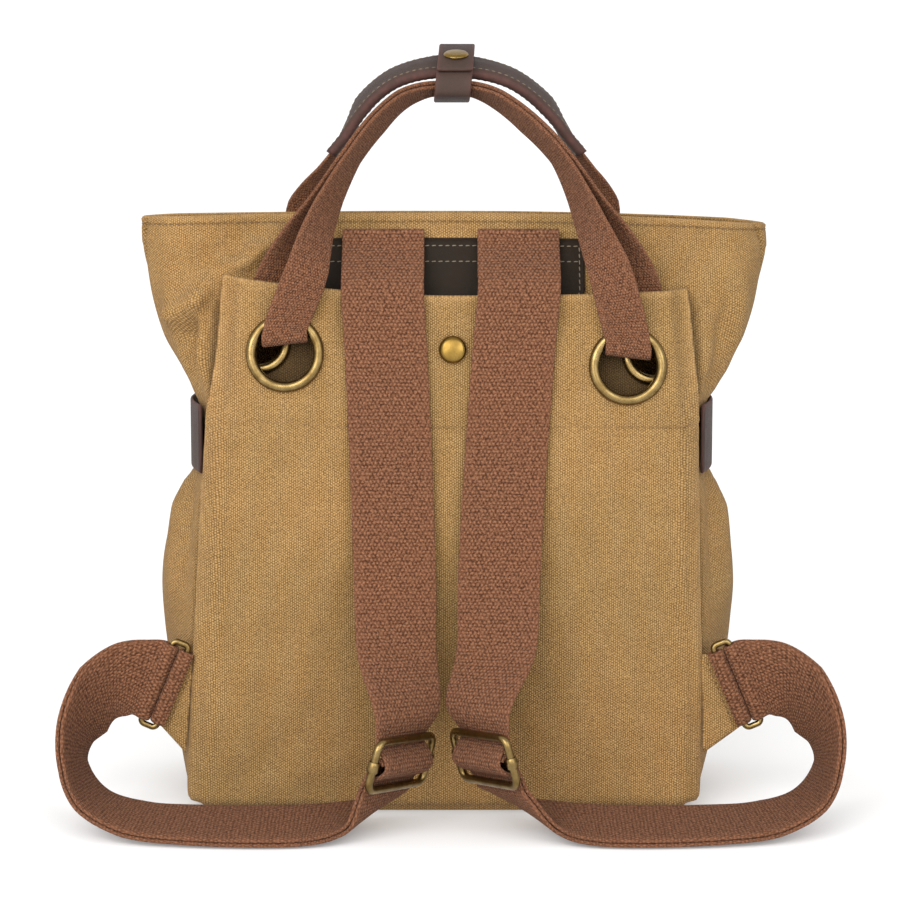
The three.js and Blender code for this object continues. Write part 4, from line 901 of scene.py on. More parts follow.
def stitch_rim(sizes):
    """Row of stitches round the hem, a little below the rim."""
    line = RIM_HEIGHT - HEM["stitch_drop"]
    ring, _ = body_ring(line, HEM["groove"] - HEM["stitch_lift"])
    ring = np.vstack([ring, ring[:1]])
    outer, _ = body_ring(line, -STITCH_NORMAL_REACH)
    normals = np.vstack([outer, outer[:1]]) - ring
    seam = stitch_seam("rim_stitches", [(ring, normals)], sizes)
    finish_piece(seam, "canvas_thread", "canvas")


# Pocket panel
def panel_half(x, z):
    """Half girth of the panel on the side of a place."""
    return GIRTH.at("girth", z) + np.sign(x) * LEAN.at("shift", z)


def panel_gap(x, z):
    """Distance of the panel's inner face from the back wall."""
    half = panel_half(x, z)
    start, end = PANEL["edge_fall"]
    inside = 1 - ease(half - start, half - end, np.abs(x))
    return PANEL["seam"] + STANDOFF.at("gap", z) * inside


def panel_face_y(x, z, canvas):
    """Y of the panel's outer face."""
    return back_y(z) - panel_gap(x, z) - canvas


def panel_point(share, z, depth):
    """Place on the panel at a share of its half girth, at a depth out from its inner face."""
    side = -1 if share < 0 else 1
    girth = abs(share) * float(panel_half(side, z))
    plan = half_plan(round(2 * z) / 2, side)
    walked = walked_lengths(plan)
    i = min(int(np.searchsorted(walked, girth, side="right")) - 1, len(plan) - 2)
    along = unit(plan[i + 1] - plan[i])
    place = plan[i] + along * (girth - walked[i])
    place[1] += float(back_y(z)) - plan[0, 1]
    outward = float(panel_gap(side * girth, z)) + depth
    return vector(side * (place[0] + along[1] * outward), place[1] - along[0] * outward, z)


def panel_relief(girth, z, top):
    """Shallow drag lines and lumps of the panel, none at its seams."""
    inside = float(panel_half(girth, z)) - abs(girth)
    seams = ease(*PANEL_FADE["foot"], z - PANEL["bottom"]) * (1 - ease(*PANEL_FADE["side"], -inside))
    lumps = sum(height * noise.noise(Vector((girth, seed, z)) / size) for height, seed, size in PANEL_LUMPS)
    drags = float(fold_field(PANEL_DRAGS, vector(girth), vector(z))[0])
    line, run = PANEL_STITCHES["height"], PANEL_HEM["run"]
    swell = PANEL_HEM["swell"] * float(ease(line - run, line + run, z))
    hem = swell - PANEL_HEM["dent"] * ridge(z - line, PANEL_HEM["width"])
    top_roll = PANEL_ROLL["height"] * ridge(top - z, PANEL_ROLL["width"])
    welt = sum(height * ridge(inside - inset, width) for height, inset, width in PANEL_WELT)
    return (drags + lumps) * float(seams) + hem + top_roll + welt


def build_panel(sizes):
    """Pocket panel: a canvas sheet sewn to the bag's sides and foot, open at its top."""
    canvas = sizes.canvas / MM
    shares = np.sin(np.linspace(-0.5, 0.5, PANEL["columns"]) * math.pi)
    outer = []
    inner = []
    cloth = []
    wear = []
    half_top = PANEL_TOP[-1][0]
    for k in np.linspace(0, 1, PANEL["rows"]):
        for share in shares:
            top = float(TOP_EDGE.at("z", share * half_top))
            z = PANEL["bottom"] + (top - PANEL["bottom"]) * k
            girth = share * float(panel_half(share, z))
            relief = panel_relief(girth, z, top)
            outer.append(panel_point(share, z, canvas + relief))
            inner.append(panel_point(share, z, min(relief, 0) * PANEL_INNER_DENT))
            cloth.append((girth, z))
            to_side = (1 - abs(share)) * PANEL_RUB["girth"]
            side_rub = PANEL_RUB["side_share"] * math.exp(-to_side / PANEL_RUB["side"])
            wear.append(max(math.exp(-(top - z) / PANEL_RUB["top"]), side_rub))
    panel = soft_sheet("pocket_panel", PANEL["rows"], PANEL["columns"], outer, inner, cloth, wear)
    cut_grommet_holes(panel, "panel", canvas)
    finish_piece(panel, "canvas_cloth", "canvas", "back_panel")


def stitch_panel(sizes):
    """Row of stitches that holds the facing behind the panel's top."""
    canvas = sizes.canvas / MM
    reach, rise = PANEL_STITCHES["reach"], PANEL_STITCHES["rise"]
    places = []
    normals = []
    for share in np.linspace(-reach, reach, PANEL_STITCHES["stations"]):
        z = PANEL_STITCHES["height"] + rise * max(0, -share - PANEL_STITCHES["rise_start"])
        places.append(panel_point(share, z, canvas - PANEL_STITCHES["sink"]))
        normals.append(panel_point(share, z, STITCH_NORMAL_REACH) - places[-1])
    seam = stitch_seam("panel_stitches", [(np.array(places), np.array(normals))], sizes)
    finish_piece(seam, "panel_thread", "canvas")


# Leather
def build_yoke(sizes):
    """Leather patch on the back wall behind the strap tops, with its stitch rows."""
    leather = sizes.leather / MM
    half, corner = YOKE["half_width"], YOKE["corner"]
    columns = np.linspace(-1, 1, YOKE["columns"])
    columns = np.sign(columns) * (1 - (1 - np.abs(columns)) ** YOKE["crowd"])
    outer = []
    inner = []
    cloth = []
    for k in np.linspace(0, 1, YOKE["rows"]):
        for share in columns:
            x = share * half
            in_corner = max(0, abs(x) - (half - corner))
            low = YOKE["bottom"] + corner - math.sqrt(corner ** 2 - in_corner ** 2)
            z = low + (YOKE["top"] - low) * k
            outer.append(yoke_point(x, z, leather - YOKE_STITCHES["dent"] * stitch_dip(x, z)))
            inner.append(yoke_point(x, z, 0))
            cloth.append((x, z))
    yoke = soft_sheet("leather_yoke", YOKE["rows"], YOKE["columns"], outer, inner, cloth)
    finish_piece(yoke, "yoke_leather", "leather_dark", "yoke_patch")
    stitch_yoke(sizes)


def stitch_yoke(sizes):
    """Stitch rows of the yoke."""
    height = sizes.leather / MM - YOKE_STITCHES["sink"]
    runs = []
    for line in yoke_lines():
        places = np.array([yoke_point(x, z, height) for x, z in line])
        runs.append((places, np.tile(YOKE_STITCHES["normal"], (len(places), 1))))
    seam = stitch_seam("yoke_stitches", runs, sizes)
    finish_piece(seam, "leather_thread", "leather_dark")


def yoke_point(x, z, out):
    """Place on the yoke at a distance out from its underside."""
    return vector(x, float(back_y(z)) - SEAT_GAP - out, z - float(rim_drop(np.array(x), z)))


def yoke_lines():
    """The yoke's stitch lines in X and Z: two rows below its top and one round each end."""
    half, drops = YOKE["half_width"] - YOKE_STITCHES["inset"], YOKE_STITCHES["drops"]
    top, low = YOKE["top"], YOKE["bottom"] + YOKE["corner"]
    lines = [[(x, top - drop) for x in np.linspace(-half, half, 40)] for drop in drops]
    for side in SIDES.values():
        end = [(side * half, z) for z in np.linspace(top - drops[0], low, 12)]
        for angle in YOKE_STITCH_CORNER["angles"]:
            inward = YOKE_STITCH_CORNER["in"] * (1 - math.cos(angle))
            end.append((side * (half - inward), low - YOKE_STITCH_CORNER["down"] * math.sin(angle)))
        lines.append(end)
    return lines


def stitch_dip(x, z):
    """Dent of the leather along the yoke's stitch lines."""
    width = YOKE_STITCHES["width"]
    rows = [ridge(YOKE["top"] - drop - z, width) for drop in YOKE_STITCHES["drops"]]
    ends = ridge(abs(x) - YOKE["half_width"] + YOKE_STITCHES["inset"], width)
    return max(*rows, ends)


def side_strap_rows(side, leather):
    """Route of a leather strap over the gusset, from the panel's seam to the front corner."""
    bottom, top = SIDE_STRAP["bottom"], SIDE_STRAP["top"]
    middle = (bottom + top) / 2
    wall = float(BODY.at("wall", middle))
    bulge = max(float(BODY.at("gusset", bottom)), float(BODY.at("gusset", top))) - wall
    wall += SIDES[side] * float(LEAN.at("shift", middle))
    back, front = float(back_y(middle)), float(BODY.at("front_mid", middle))
    rows = []
    for t in np.linspace(SIDE_STRAP["start"], SIDE_STRAP["end"], SIDE_STRAP["stations"]):
        x = wall + bulge * math.sin(math.pi * t) ** SIDE_STRAP["fullness"] + SEAT_GAP + leather
        rows.append((vector(SIDES[side] * x, back + (front - back) * t, middle), vector(0, 0, 1)))
    return rows


def build_side_straps(sizes):
    """Leather straps that pull in the two gussets."""
    leather = sizes.leather / MM
    width = SIDE_STRAP["top"] - SIDE_STRAP["bottom"]
    for side in SIDES:
        rows = side_strap_rows(side, leather)
        strap = strip_piece(f"leather_side_strap_{side}", rows, width, leather, LEATHER_ACROSS)
        finish_piece(strap, "brown_leather", "leather_brown", f"side_strap_{side}")


# Shoulder straps
def sided(side, place, width):
    """A row written for the right side, or its mirror image for the left."""
    if side == "right":
        return place, width
    return place * (-1, 1, 1), width * (1, -1, -1)


def slider_axes():
    """Width, up and face directions of the right slider."""
    across = unit(vector(*SLIDER_WIDTH_AXIS))
    up = vector(*SLIDER_UP_AXIS)
    up = unit(up - np.dot(up, across) * across)
    return across, up, np.cross(across, up)


def ring_axes():
    """Directions of the right ring, along its long bars and outwards, and the middles of those bars."""
    slant = ANCHOR["slant"]
    along = vector(-math.sin(slant), 0, math.cos(slant))
    outward = vector(math.cos(slant), 0, math.sin(slant))
    inner = vector(ANCHOR["x"], ANCHOR["y"], ANCHOR["z"])
    return along, outward, inner, inner + RING["span"] * outward


def strap_top_rows(webbing, leather):
    """Strap's stub on the yoke and the fold over its top."""
    across = vector(1, 0, 0)
    seat = 3 * SEAT_GAP + leather + webbing / 2
    x = STRAP_X["top"]
    rows = [(vector(x, float(back_y(z)) - seat, z), across) for z in STRAP_STUB]
    fold_y = float(back_y(STRAP_TOP)) - seat - STRAP_FOLD["radius"] - STRAP_FOLD["lift"]
    centre = vector(x, fold_y, STRAP_TOP - STRAP_FOLD["drop"])
    away, up = vector(0, 1, 0), vector(0, 0, 1)
    turn = half_turn(centre, away, up, STRAP_FOLD["radius"], across, TURN_ANGLES["fold"])
    leave = centre - (0, STRAP_FOLD["leave_out"], STRAP_FOLD["leave_down"])
    return rows + turn, leave


def strap_route(side, webbing, leather):
    """Route of one shoulder strap from the yoke to the slider, round the ring and back to the bar."""
    across_x = vector(1, 0, 0)
    across, up, out = slider_axes()
    rows, leave = strap_top_rows(webbing, leather)
    pitch = webbing + SEAT_GAP
    place = vector(*SLIDER_PLACES[side])
    behind = SLIDER["wire"] + 2 * SEAT_GAP + webbing / 2
    wrap = SLIDER_BAR["radius"] + SEAT_GAP + webbing / 2
    over = wrap + pitch
    half = SLIDER["half_length"]

    def at_slider(rise, forward):
        return place + rise * up + forward * out

    hang = [(leave, across_x)]
    for fall, turn, y, z in STRAP_HANG:
        x = STRAP_X["top"] + (STRAP_X[side] - STRAP_X["top"]) * fall
        hang.append((vector(x, y, z), (1 - turn) * across_x + turn * across))
    turned = unit((1 - WEAVE["turn_above"]) * across_x + WEAVE["turn_above"] * across)
    hang.append((at_slider(half + WEAVE_RUN["above"], -behind), turned))
    hang.append((at_slider(half, -behind), across))
    rows += smooth_route(hang, 3)
    dip, climb = WEAVE["dip"] * half, WEAVE["climb"] * half
    low, high = -WEAVE["dip_depth"] * behind, WEAVE["climb_height"] * over
    weave = ((dip, low), (climb, high), (0, over), (-climb, high), (-dip, low), (-half, -behind))
    rows += [(at_slider(rise, forward), across) for rise, forward in weave]

    along, outward, _, outer = ring_axes()
    core = [(at_slider(-half - WEAVE_RUN["below"], -behind - WEAVE_RUN["rear"] * pitch), across)]
    core += [(vector(x, y, z), vector(sx, sy, sz)) for x, y, z, sx, sy, sz in STRAP_CURL]
    core.append((outer + RING["lead"] * outward, along))
    doubled = smooth_route(core, 3)
    rows += shifted(doubled, pitch / 2)
    bend = RING["wire"] + SEAT_GAP + webbing / 2
    rows += half_turn(outer, vector(0, 1, 0), -outward, bend, along, TURN_ANGLES["ring"])
    rows += shifted(doubled, -pitch / 2)[::-1]
    rows.append((at_slider(-half, -behind - pitch), across))
    rows.append((at_slider(-half / 2, -wrap - WEAVE_RUN["lead"]), across))
    rows += half_turn(place, -out, up, wrap, across, TURN_ANGLES["bar"])
    return [sided(side, *row) for row in rows]


def build_shoulder_straps(sizes):
    """Two webbing straps, each through its slider and round its ring."""
    webbing, leather, width = in_mm(sizes, "webbing", "leather", "strap_width")
    for side in SIDES:
        rows = smooth_route(strap_route(side, webbing, leather), 3)
        strap = strip_piece(f"webbing_shoulder_strap_{side}", rows, width, webbing)
        finish_piece(strap, "shoulder_webbing", "webbing", f"shoulder_strap_{side}")


def tab_seam(side, z):
    """Place beside the panel's seam where a tab leaves the bag, written for the right side."""
    lean = SIDES[side] * float(LEAN.at("shift", z))
    return vector(float(BODY.at("wall", z)) + TAB["seam_out"] + lean, ANCHOR["y"], z)


def build_sleeve(side, sizes):
    """Webbing sleeve round the ring's inner bar, which holds the ring on its tab."""
    canvas, webbing = in_mm(sizes, "canvas", "webbing")
    along, outward, inner, _ = ring_axes()
    away = vector(0, 1, 0)
    radius = RING["wire"] + SEAT_GAP + webbing / 2
    depth = canvas / 2 + SEAT_GAP + webbing / 2
    tails = [(inner - SLEEVE["tail"] * outward + sign * depth * away, along) for sign in (1, -1)]
    bend = half_turn(inner, away, outward, radius, along, TURN_ANGLES["sleeve"])
    rows = [sided(side, *row) for row in smooth_route([tails[0], *bend, tails[1]], 4)]
    sleeve = strip_piece(f"webbing_ring_sleeve_{side}", rows, SLEEVE["width"], webbing + SLEEVE["fluff"])
    finish_piece(sleeve, "shoulder_webbing", "webbing", f"tab_sleeve_{side}")


def build_tab(side, sizes):
    """Canvas tab between the panel's seam and a ring, with its stitch row."""
    half = sizes.canvas / MM / 2
    along, outward, inner, _ = ring_axes()
    away, mirror = vector(0, 1, 0), vector(SIDES[side], 1, 1)
    top, bottom = (inner + TAB["reach"] * outward + TAB[end] * along for end in ("top", "bottom"))
    seam_top, seam_bottom = (tab_seam(side, TAB[end]) for end in ("seam_top", "seam_bottom"))
    middle = []
    cloth = []
    for up in np.linspace(0, 1, TAB_GRID["rows"]):
        for across in np.linspace(0, 1, TAB_GRID["columns"]):
            low = seam_bottom + (bottom - seam_bottom) * across
            high = seam_top + (top - seam_top) * across
            point = low + (high - low) * up
            middle.append(point * mirror)
            cloth.append((point[0], point[2]))
    middle = np.array(middle)
    tab = soft_sheet(f"canvas_ring_tab_{side}", TAB_GRID["rows"], TAB_GRID["columns"],
                     middle - away * half, middle + away * half, cloth)
    finish_piece(tab, "canvas_cloth", "canvas", f"ring_tab_{side}")
    inset = TAB_STITCHES["inset"] * outward
    run = np.linspace(bottom - inset, top - inset, TAB_GRID["columns"]) * mirror
    run -= (half - TAB_STITCHES["sink"]) * away
    seam = stitch_seam(f"ring_tab_stitches_{side}", [(run, np.tile(-away, (len(run), 1)))], sizes)
    finish_piece(seam, "canvas_thread", "canvas")


def build_ring_tabs(sizes):
    """Webbing sleeves of the rings and the canvas tabs at the bag's sides."""
    for side in SIDES:
        build_sleeve(side, sizes)
        build_tab(side, sizes)


# Handles
def arch_rows(side, table):
    """Rows of one leg of a handle's arch."""
    sign = SIDES[side]
    rows = []
    for left, right, y, z, sx, sy, sz in table:
        x = left if side == "left" else right
        rows.append((vector(sign * x, y, z), vector(-sign * sx, sy, sz)))
    return rows


def seat_on_sheet(sheet, x, z, canvas):
    """Place on the outer face of the panel or the back wall, and the direction that the face looks."""
    def face(height):
        return float(panel_face_y(x, height, canvas) if sheet == "panel" else back_y(height))

    lean = (face(z + SEAT_STEP) - face(z - SEAT_STEP)) / (2 * SEAT_STEP)
    return vector(x, face(z), z), unit(vector(0, -1, lean))


def grommet_place(side, sheet, canvas):
    """Centre and direction of a grommet."""
    return seat_on_sheet(sheet, *GROMMET_PLACES[sheet][side], canvas)


def grommet_bend(side, canvas):
    """Bend of the near handle through its grommet."""
    place, towards = grommet_place(side, "panel", canvas)
    down = vector(0, -towards[2], towards[1])
    centre = place - HANDLE_BEND["drop"] * down - canvas / 2 * towards
    width = vector(-SIDES[side], 0, HANDLE_BEND["tilt"])
    return half_turn(centre, towards, down, HANDLE_BEND["leg"], width, TURN_ANGLES["grommet"])


def near_handle_rows(webbing, canvas):
    """Route of the near handle: over the crown, through both grommets and back up over itself."""
    crown = (vector(*NEAR_CROWN[0]), vector(*NEAR_CROWN[1]))
    coarse = arch_rows("left", NEAR_ARCH) + [crown] + arch_rows("right", NEAR_ARCH)[::-1]
    arch = smooth_route(coarse, ARCH_STEPS)
    outer = shifted(arch, webbing + SEAT_GAP)
    middle = (len(arch) - 1) // 2
    join = ARCH_STEPS * NEAR_REAR_JOIN
    legs = {}
    for side, sign in SIDES.items():
        x = GROMMET_PLACES["panel"][side][0]
        legs[side] = [(vector(x + sign * dx, y, z), vector(-sign * sx, sy, sz))
                      for dx, y, z, sx, sy, sz in NEAR_REAR_LEG]
    left = outer[join:middle][::-1] + legs["left"][::-1] + grommet_bend("left", canvas)[::-1]
    right = grommet_bend("right", canvas) + legs["right"] + outer[middle + 1:len(outer) - join][::-1]
    return smooth_route(left + arch + right, 4)


def far_handle_rows(webbing):
    """Route of the far handle, from the far wall over the crown and back."""
    def wall_rows(side):
        x = SIDES[side] * FAR_WALL["x"]
        rows = []
        for z in FAR_WALL_ROWS:
            y = float(front_y(z, x)) + SEAT_GAP + webbing / 2 + FAR_WALL["lift"]
            turn = float(front_y(z, x + 1) - front_y(z, x - 1)) / 2
            rows.append((vector(x, y, z), -SIDES[side] * vector(1, turn, 0)))
        return rows

    crown = (vector(*FAR_CROWN[0]), vector(*FAR_CROWN[1]))
    left = wall_rows("left") + arch_rows("left", FAR_ARCH)
    right = wall_rows("right") + arch_rows("right", FAR_ARCH)
    return smooth_route(left + [crown] + right[::-1], ARCH_STEPS)


def build_handles(sizes):
    """Webbing of the near and far handles."""
    webbing, canvas, width = in_mm(sizes, "webbing", "canvas", "handle_width")
    near = near_handle_rows(webbing, canvas)
    far = smooth_route(far_handle_rows(webbing), 3)
    for name, rows, rests in (("near", near, "pocket_panel"), ("far", far, "canvas_bag")):
        handle = strip_piece(f"webbing_handle_{name}", rows, width, webbing)
        finish_piece(handle, "handle_webbing", "webbing", f"handle_{name}")


def build_grip(sizes):
    """Leather sleeve sewn round the middle of the far handle."""
    webbing, width = in_mm(sizes, "webbing", "handle_width")
    coarse = far_handle_rows(webbing)
    first = GRIP["first_station"]
    rows = smooth_route(coarse[first:len(coarse) - first], 4)
    clear = 2 * SEAT_GAP
    bore = strip_section(width + clear, webbing + clear)
    skin = strip_section(width + clear + 2 * GRIP["wall"], webbing + clear + 2 * GRIP["wall"])
    swell = 1 + GRIP["swell"] * ridge(skin[:, 0], GRIP["swell_width"])
    skin = skin * np.column_stack([np.ones(len(skin)), swell])
    outer, cloth = strip_rings(rows, skin)
    inner, inner_cloth = strip_rings(rows, bore)
    rings = np.vstack([outer, inner[::-1]])
    wear = np.vstack([strip_wear(skin, width + GRIP["wear_room"], len(outer)), np.zeros(inner.shape[:2])])
    grip = loft("leather_handle_grip", rings, np.vstack([cloth, inner_cloth[::-1]]), wear, looped=True)
    finish_piece(grip, "brown_leather", "leather_brown", "handle_grip")
    places, widths, normals = route_arrays(rows)
    height = webbing / 2 + SEAT_GAP + GRIP["wall"] - GRIP_STITCHES["sink"]
    side = width / 2 - GRIP_STITCHES["inset"]
    runs = []
    for edge in (-1, 1):
        for face in (-1, 1):
            runs.append((places + edge * side * widths + face * height * normals, face * normals))
    seam = stitch_seam("grip_stitches", runs, sizes)
    finish_piece(seam, "leather_thread", "leather_brown")


def keeper_path():
    """Places in Y and Z of the strip wound once round both handles, its end lapped over its start."""
    corners = np.array(KEEPER_HULL, float)
    count = len(corners)
    middle = corners.mean(axis=0)

    def out(index, extra):
        here = corners[index % count]
        bisector = unit(here - corners[index - 1]) + unit(here - corners[(index + 1) % count])
        if np.dot(bisector, here - middle) < 0:
            bisector = -bisector
        return here + unit(bisector) * (KEEPER["clearance"] + extra)

    def towards(start, end, distance):
        return start + (end - start) * distance / np.linalg.norm(end - start)

    start = out(count - 1, 0) + (out(0, 0) - out(count - 1, 0)) * KEEPER["start"]
    path = [start, start + (out(0, 0) - start) * KEEPER["run_in"]]
    for i in range(count):
        here = out(i, 0)
        before = start if i == 0 else out(i - 1, 0)
        after = out(0, KEEPER_LAP["height"]) if i == count - 1 else out(i + 1, 0)
        path += [towards(here, before, KEEPER["corner"]), towards(here, after, KEEPER["corner"])]
    lapped = out(0, KEEPER_LAP["height"])
    over_start = out(count - 1, KEEPER_LAP["height"])
    over_start += (lapped - over_start) * KEEPER_LAP["climb"] * KEEPER["start"]
    end = out(1, KEEPER_LAP["height"] + KEEPER_LAP["end_lift"])
    path.append(over_start)
    path.append(lapped + (over_start - lapped) * KEEPER_LAP["bend"])
    path.append(end + (lapped - end) * KEEPER["start"])
    return path


def keeper_rows():
    """Route of the keeper strip."""
    x, _, middle = NEAR_CROWN[0]
    return [(vector(x + KEEPER["skew"] * (z - middle), y, z), vector(1, 0, 0)) for y, z in keeper_path()]


def build_keeper(sizes):
    """Leather keeper that holds the two handles together."""
    rows = smooth_route(keeper_rows(), 5)
    width = 2 * KEEPER["half_width"]
    keeper = strip_piece("leather_keeper", rows, width, sizes.leather / MM, LEATHER_ACROSS)
    finish_piece(keeper, "brown_leather", "leather_brown", "handle_keeper")


# Brass
def deselect_all():
    """Leaves nothing selected, so that an operator acts on the new piece alone."""
    bpy.ops.object.select_all(action="DESELECT")


def select_only(piece):
    """Makes a piece the one that operators act on."""
    deselect_all()
    piece.select_set(True)
    bpy.context.view_layer.objects.active = piece


def start_edit():
    """Opens the active piece for editing with all of it selected."""
    bpy.ops.object.mode_set(mode="EDIT")
    bpy.ops.mesh.select_all(action="SELECT")


def turned_piece(name, profile, closed):
    """Turns a profile of (radius, height) round the Z axis by extruding a circle from point to point."""
    deselect_all()
    radius, height = profile[0]
    bpy.ops.mesh.primitive_circle_add(vertices=72, radius=radius * MM, location=(0, 0, height * MM))
    piece = bpy.context.object
    piece.name = piece.data.name = name
    bpy.ops.object.transform_apply(location=True, rotation=True, scale=True)
    start_edit()
    for next_radius, next_height in profile[1:]:
        rise = (0, 0, (next_height - height) * MM)
        bpy.ops.mesh.extrude_edges_move(TRANSFORM_OT_translate={"value": rise})
        share = next_radius / radius
        bpy.ops.transform.resize(value=(share, share, 1), center_override=(0, 0, next_height * MM))
        radius, height = next_radius, next_height
    if not closed:
        bpy.ops.mesh.edge_face_add()
        bpy.ops.mesh.poke()
    bpy.ops.mesh.select_all(action="SELECT")
    bpy.ops.mesh.remove_doubles(threshold=1e-6)
    if not closed:
        bpy.ops.mesh.fill_holes(sides=0)
    bpy.ops.mesh.normals_make_consistent(inside=False)
    bpy.ops.object.mode_set(mode="OBJECT")
    return piece


def settle(piece, matrix):
    """Moves a piece's mesh to its place and leaves the object at the origin."""
    select_only(piece)
    piece.matrix_world = matrix
    bpy.ops.object.transform_apply(location=True, rotation=True, scale=True)
    bpy.ops.object.shade_smooth_by_angle(angle=math.radians(SMOOTH_ANGLE))
    return piece


def seat_matrix(place, axis):
    """Matrix that turns +Z to an axis and moves the origin to a place in millimetres."""
    turn = Vector((0, 0, 1)).rotation_difference(Vector(axis))
    return Matrix.Translation(Vector(place) * MM) @ turn.to_matrix().to_4x4()


def frame_matrix(place, across, up):
    """Matrix whose X and Y axes are two given directions, at a place in millimetres."""
    axes = Matrix((across, up, np.cross(across, up))).transposed().to_4x4()
    return Matrix.Translation(Vector(place) * MM) @ axes


def cut_hole(sheet, place_axis, radius):
    """Cuts a round hole through a sheet at a grommet's place."""
    place, axis = place_axis
    deselect_all()
    bpy.ops.mesh.primitive_cylinder_add(vertices=64, radius=radius * MM, depth=0.016)
    cutter = bpy.context.object
    settle(cutter, seat_matrix(place, axis))
    select_only(sheet)
    cut = sheet.modifiers.new("hole", "BOOLEAN")
    cut.operation = "DIFFERENCE"
    cut.object = cutter
    cut.solver = "EXACT"
    bpy.ops.object.modifier_apply(modifier=cut.name)
    bpy.data.objects.remove(cutter)


def cut_grommet_holes(piece, sheet, canvas):
    """Cuts the holes of a sheet's two grommets."""
    radius = GROMMET_SIZES[sheet]["hole"] + GROMMET["hole_room"]
    for side in SIDES:
        cut_hole(piece, grommet_place(side, sheet, canvas), radius)


def grommet_profile(sheet, canvas):
    """Section of a rolled grommet that clamps the canvas between its domed face and its back flange."""
    hole, outer = GROMMET_SIZES[sheet]["hole"], GROMMET_SIZES[sheet]["outer"]
    middle, reach = (hole + outer) / 2, (outer - hole) / 2
    barrel, lift = hole + GROMMET["barrel"], GROMMET["lift"]
    under, back = -canvas - 0.5, -canvas - GROMMET["back"]
    profile = [(barrel, HEAD_SEAT), (barrel, under), (outer - 1.2, under), (outer - 1.8, back)]
    profile += [(hole + 0.6, back), (hole, -canvas - 0.6), (hole, lift)]
    for degrees in range(160, -1, -20):
        angle = math.radians(degrees)
        profile.append((middle + reach * math.cos(angle), lift + GROMMET["dome"] * math.sin(angle)))
    return profile + [(outer - 0.2, HEAD_SEAT), profile[0]]


def build_grommets(sizes):
    """Two grommets in the pocket panel and two in the wall behind it."""
    canvas = sizes.canvas / MM
    for sheet in ("panel", "wall"):
        for side in SIDES:
            place, axis = grommet_place(side, sheet, canvas)
            piece = turned_piece(f"brass_{sheet}_grommet_{side}", grommet_profile(sheet, canvas), True)
            settle(piece, seat_matrix(place, axis))
            finish_piece(piece, "antique_brass", "brass", f"{sheet}_grommet_{side}")


def dome_profile(radius, dome, edge):
    """Section of a domed head from its underside to its top."""
    brim = HEAD_SEAT + edge
    profile = [(radius * 0.6, HEAD_SEAT), (radius - 0.4, HEAD_SEAT)]
    profile += [(radius, HEAD_SEAT + 0.4 * edge), (radius - 0.25, brim)]
    for share in (0.85, 0.7, 0.5, 0.3, 0.1):
        profile.append((radius * share, brim + (dome - brim) * math.sqrt(1 - share ** 2)))
    return profile


def build_studs(sizes):
    """Stud of the pocket panel and rivet of the keeper."""
    canvas, leather = in_mm(sizes, "canvas", "leather")
    place, axis = seat_on_sheet("panel", STUD["x"], STUD["z"], canvas)
    place -= (0, STUD["stand"], 0)
    stud = turned_piece("brass_stud", dome_profile(STUD["radius"], STUD["dome"], STUD["edge"]), False)
    finish_piece(settle(stud, seat_matrix(place, axis)), "stud_brass", "brass", "panel_stud")
    rows = keeper_rows()
    high, low = rows[-3][0], rows[-2][0]
    axis = unit(np.cross(vector(1, 0, 0), high - low))
    centre = low + (high - low) * RIVET["share"] + axis * leather / 2
    rivet = turned_piece("brass_rivet", dome_profile(RIVET["radius"], RIVET["dome"], RIVET["edge"]), False)
    finish_piece(settle(rivet, seat_matrix(centre, axis)), "stud_brass", "brass", "keeper_rivet")


def bent_wire(name, half_width, half_length, corner, radius):
    """Rectangle of round wire with rounded corners, bent from a plane's outline."""
    deselect_all()
    bpy.ops.mesh.primitive_plane_add(size=2)
    piece = bpy.context.object
    piece.scale = (half_width * MM, half_length * MM, 1)
    bpy.ops.object.transform_apply(location=False, rotation=False, scale=True)
    start_edit()
    bpy.ops.mesh.bevel(offset=corner * MM, segments=8, affect="VERTICES")
    bpy.ops.mesh.select_all(action="SELECT")
    bpy.ops.mesh.delete(type="ONLY_FACE")
    bpy.ops.object.mode_set(mode="OBJECT")
    bpy.ops.object.convert(target="CURVE")
    outline = bpy.context.object
    outline.data.dimensions = "3D"
    outline.data.bevel_depth = radius * MM
    outline.data.bevel_resolution = 5
    bpy.ops.object.convert(target="MESH")
    piece = bpy.context.object
    piece.name = piece.data.name = name
    return piece


def slider_bar(name):
    """Sliding bar with a collar at each end."""
    inside, outside = SLIDER["wire"] + SLIDER_BAR["room"], SLIDER_BAR["collar"]
    end = SLIDER_BAR["collar_length"] / 2
    reach = SLIDER["half_width"] - (inside + outside) / 2
    lower = [(inside, -end), (outside - COLLAR_EDGE["in"], -end), (outside, COLLAR_EDGE["along"] - end)]
    profile = lower + [(radius, -height) for radius, height in reversed(lower)] + lower[:1]
    pieces = []
    for side, sign in SIDES.items():
        collar = turned_piece(f"collar_{side}", profile, True)
        upright = frame_matrix((sign * SLIDER["half_width"], 0, 0), (1, 0, 0), (0, 0, -1))
        pieces.append(settle(collar, upright))
    deselect_all()
    bpy.ops.mesh.primitive_cylinder_add(vertices=24, radius=SLIDER_BAR["radius"] * MM, depth=2 * reach * MM,
                                        rotation=(0, math.pi / 2, 0))
    bar = bpy.context.object
    bpy.ops.object.transform_apply(location=False, rotation=True, scale=False)
    start_edit()
    bpy.ops.mesh.bevel(offset=SLIDER_BAR["bevel"] * MM, segments=2)
    bpy.ops.object.mode_set(mode="OBJECT")
    for piece in pieces:
        piece.select_set(True)
    bar.select_set(True)
    bpy.context.view_layer.objects.active = bar
    bpy.ops.object.join()
    bar.name = bar.data.name = name
    return bar


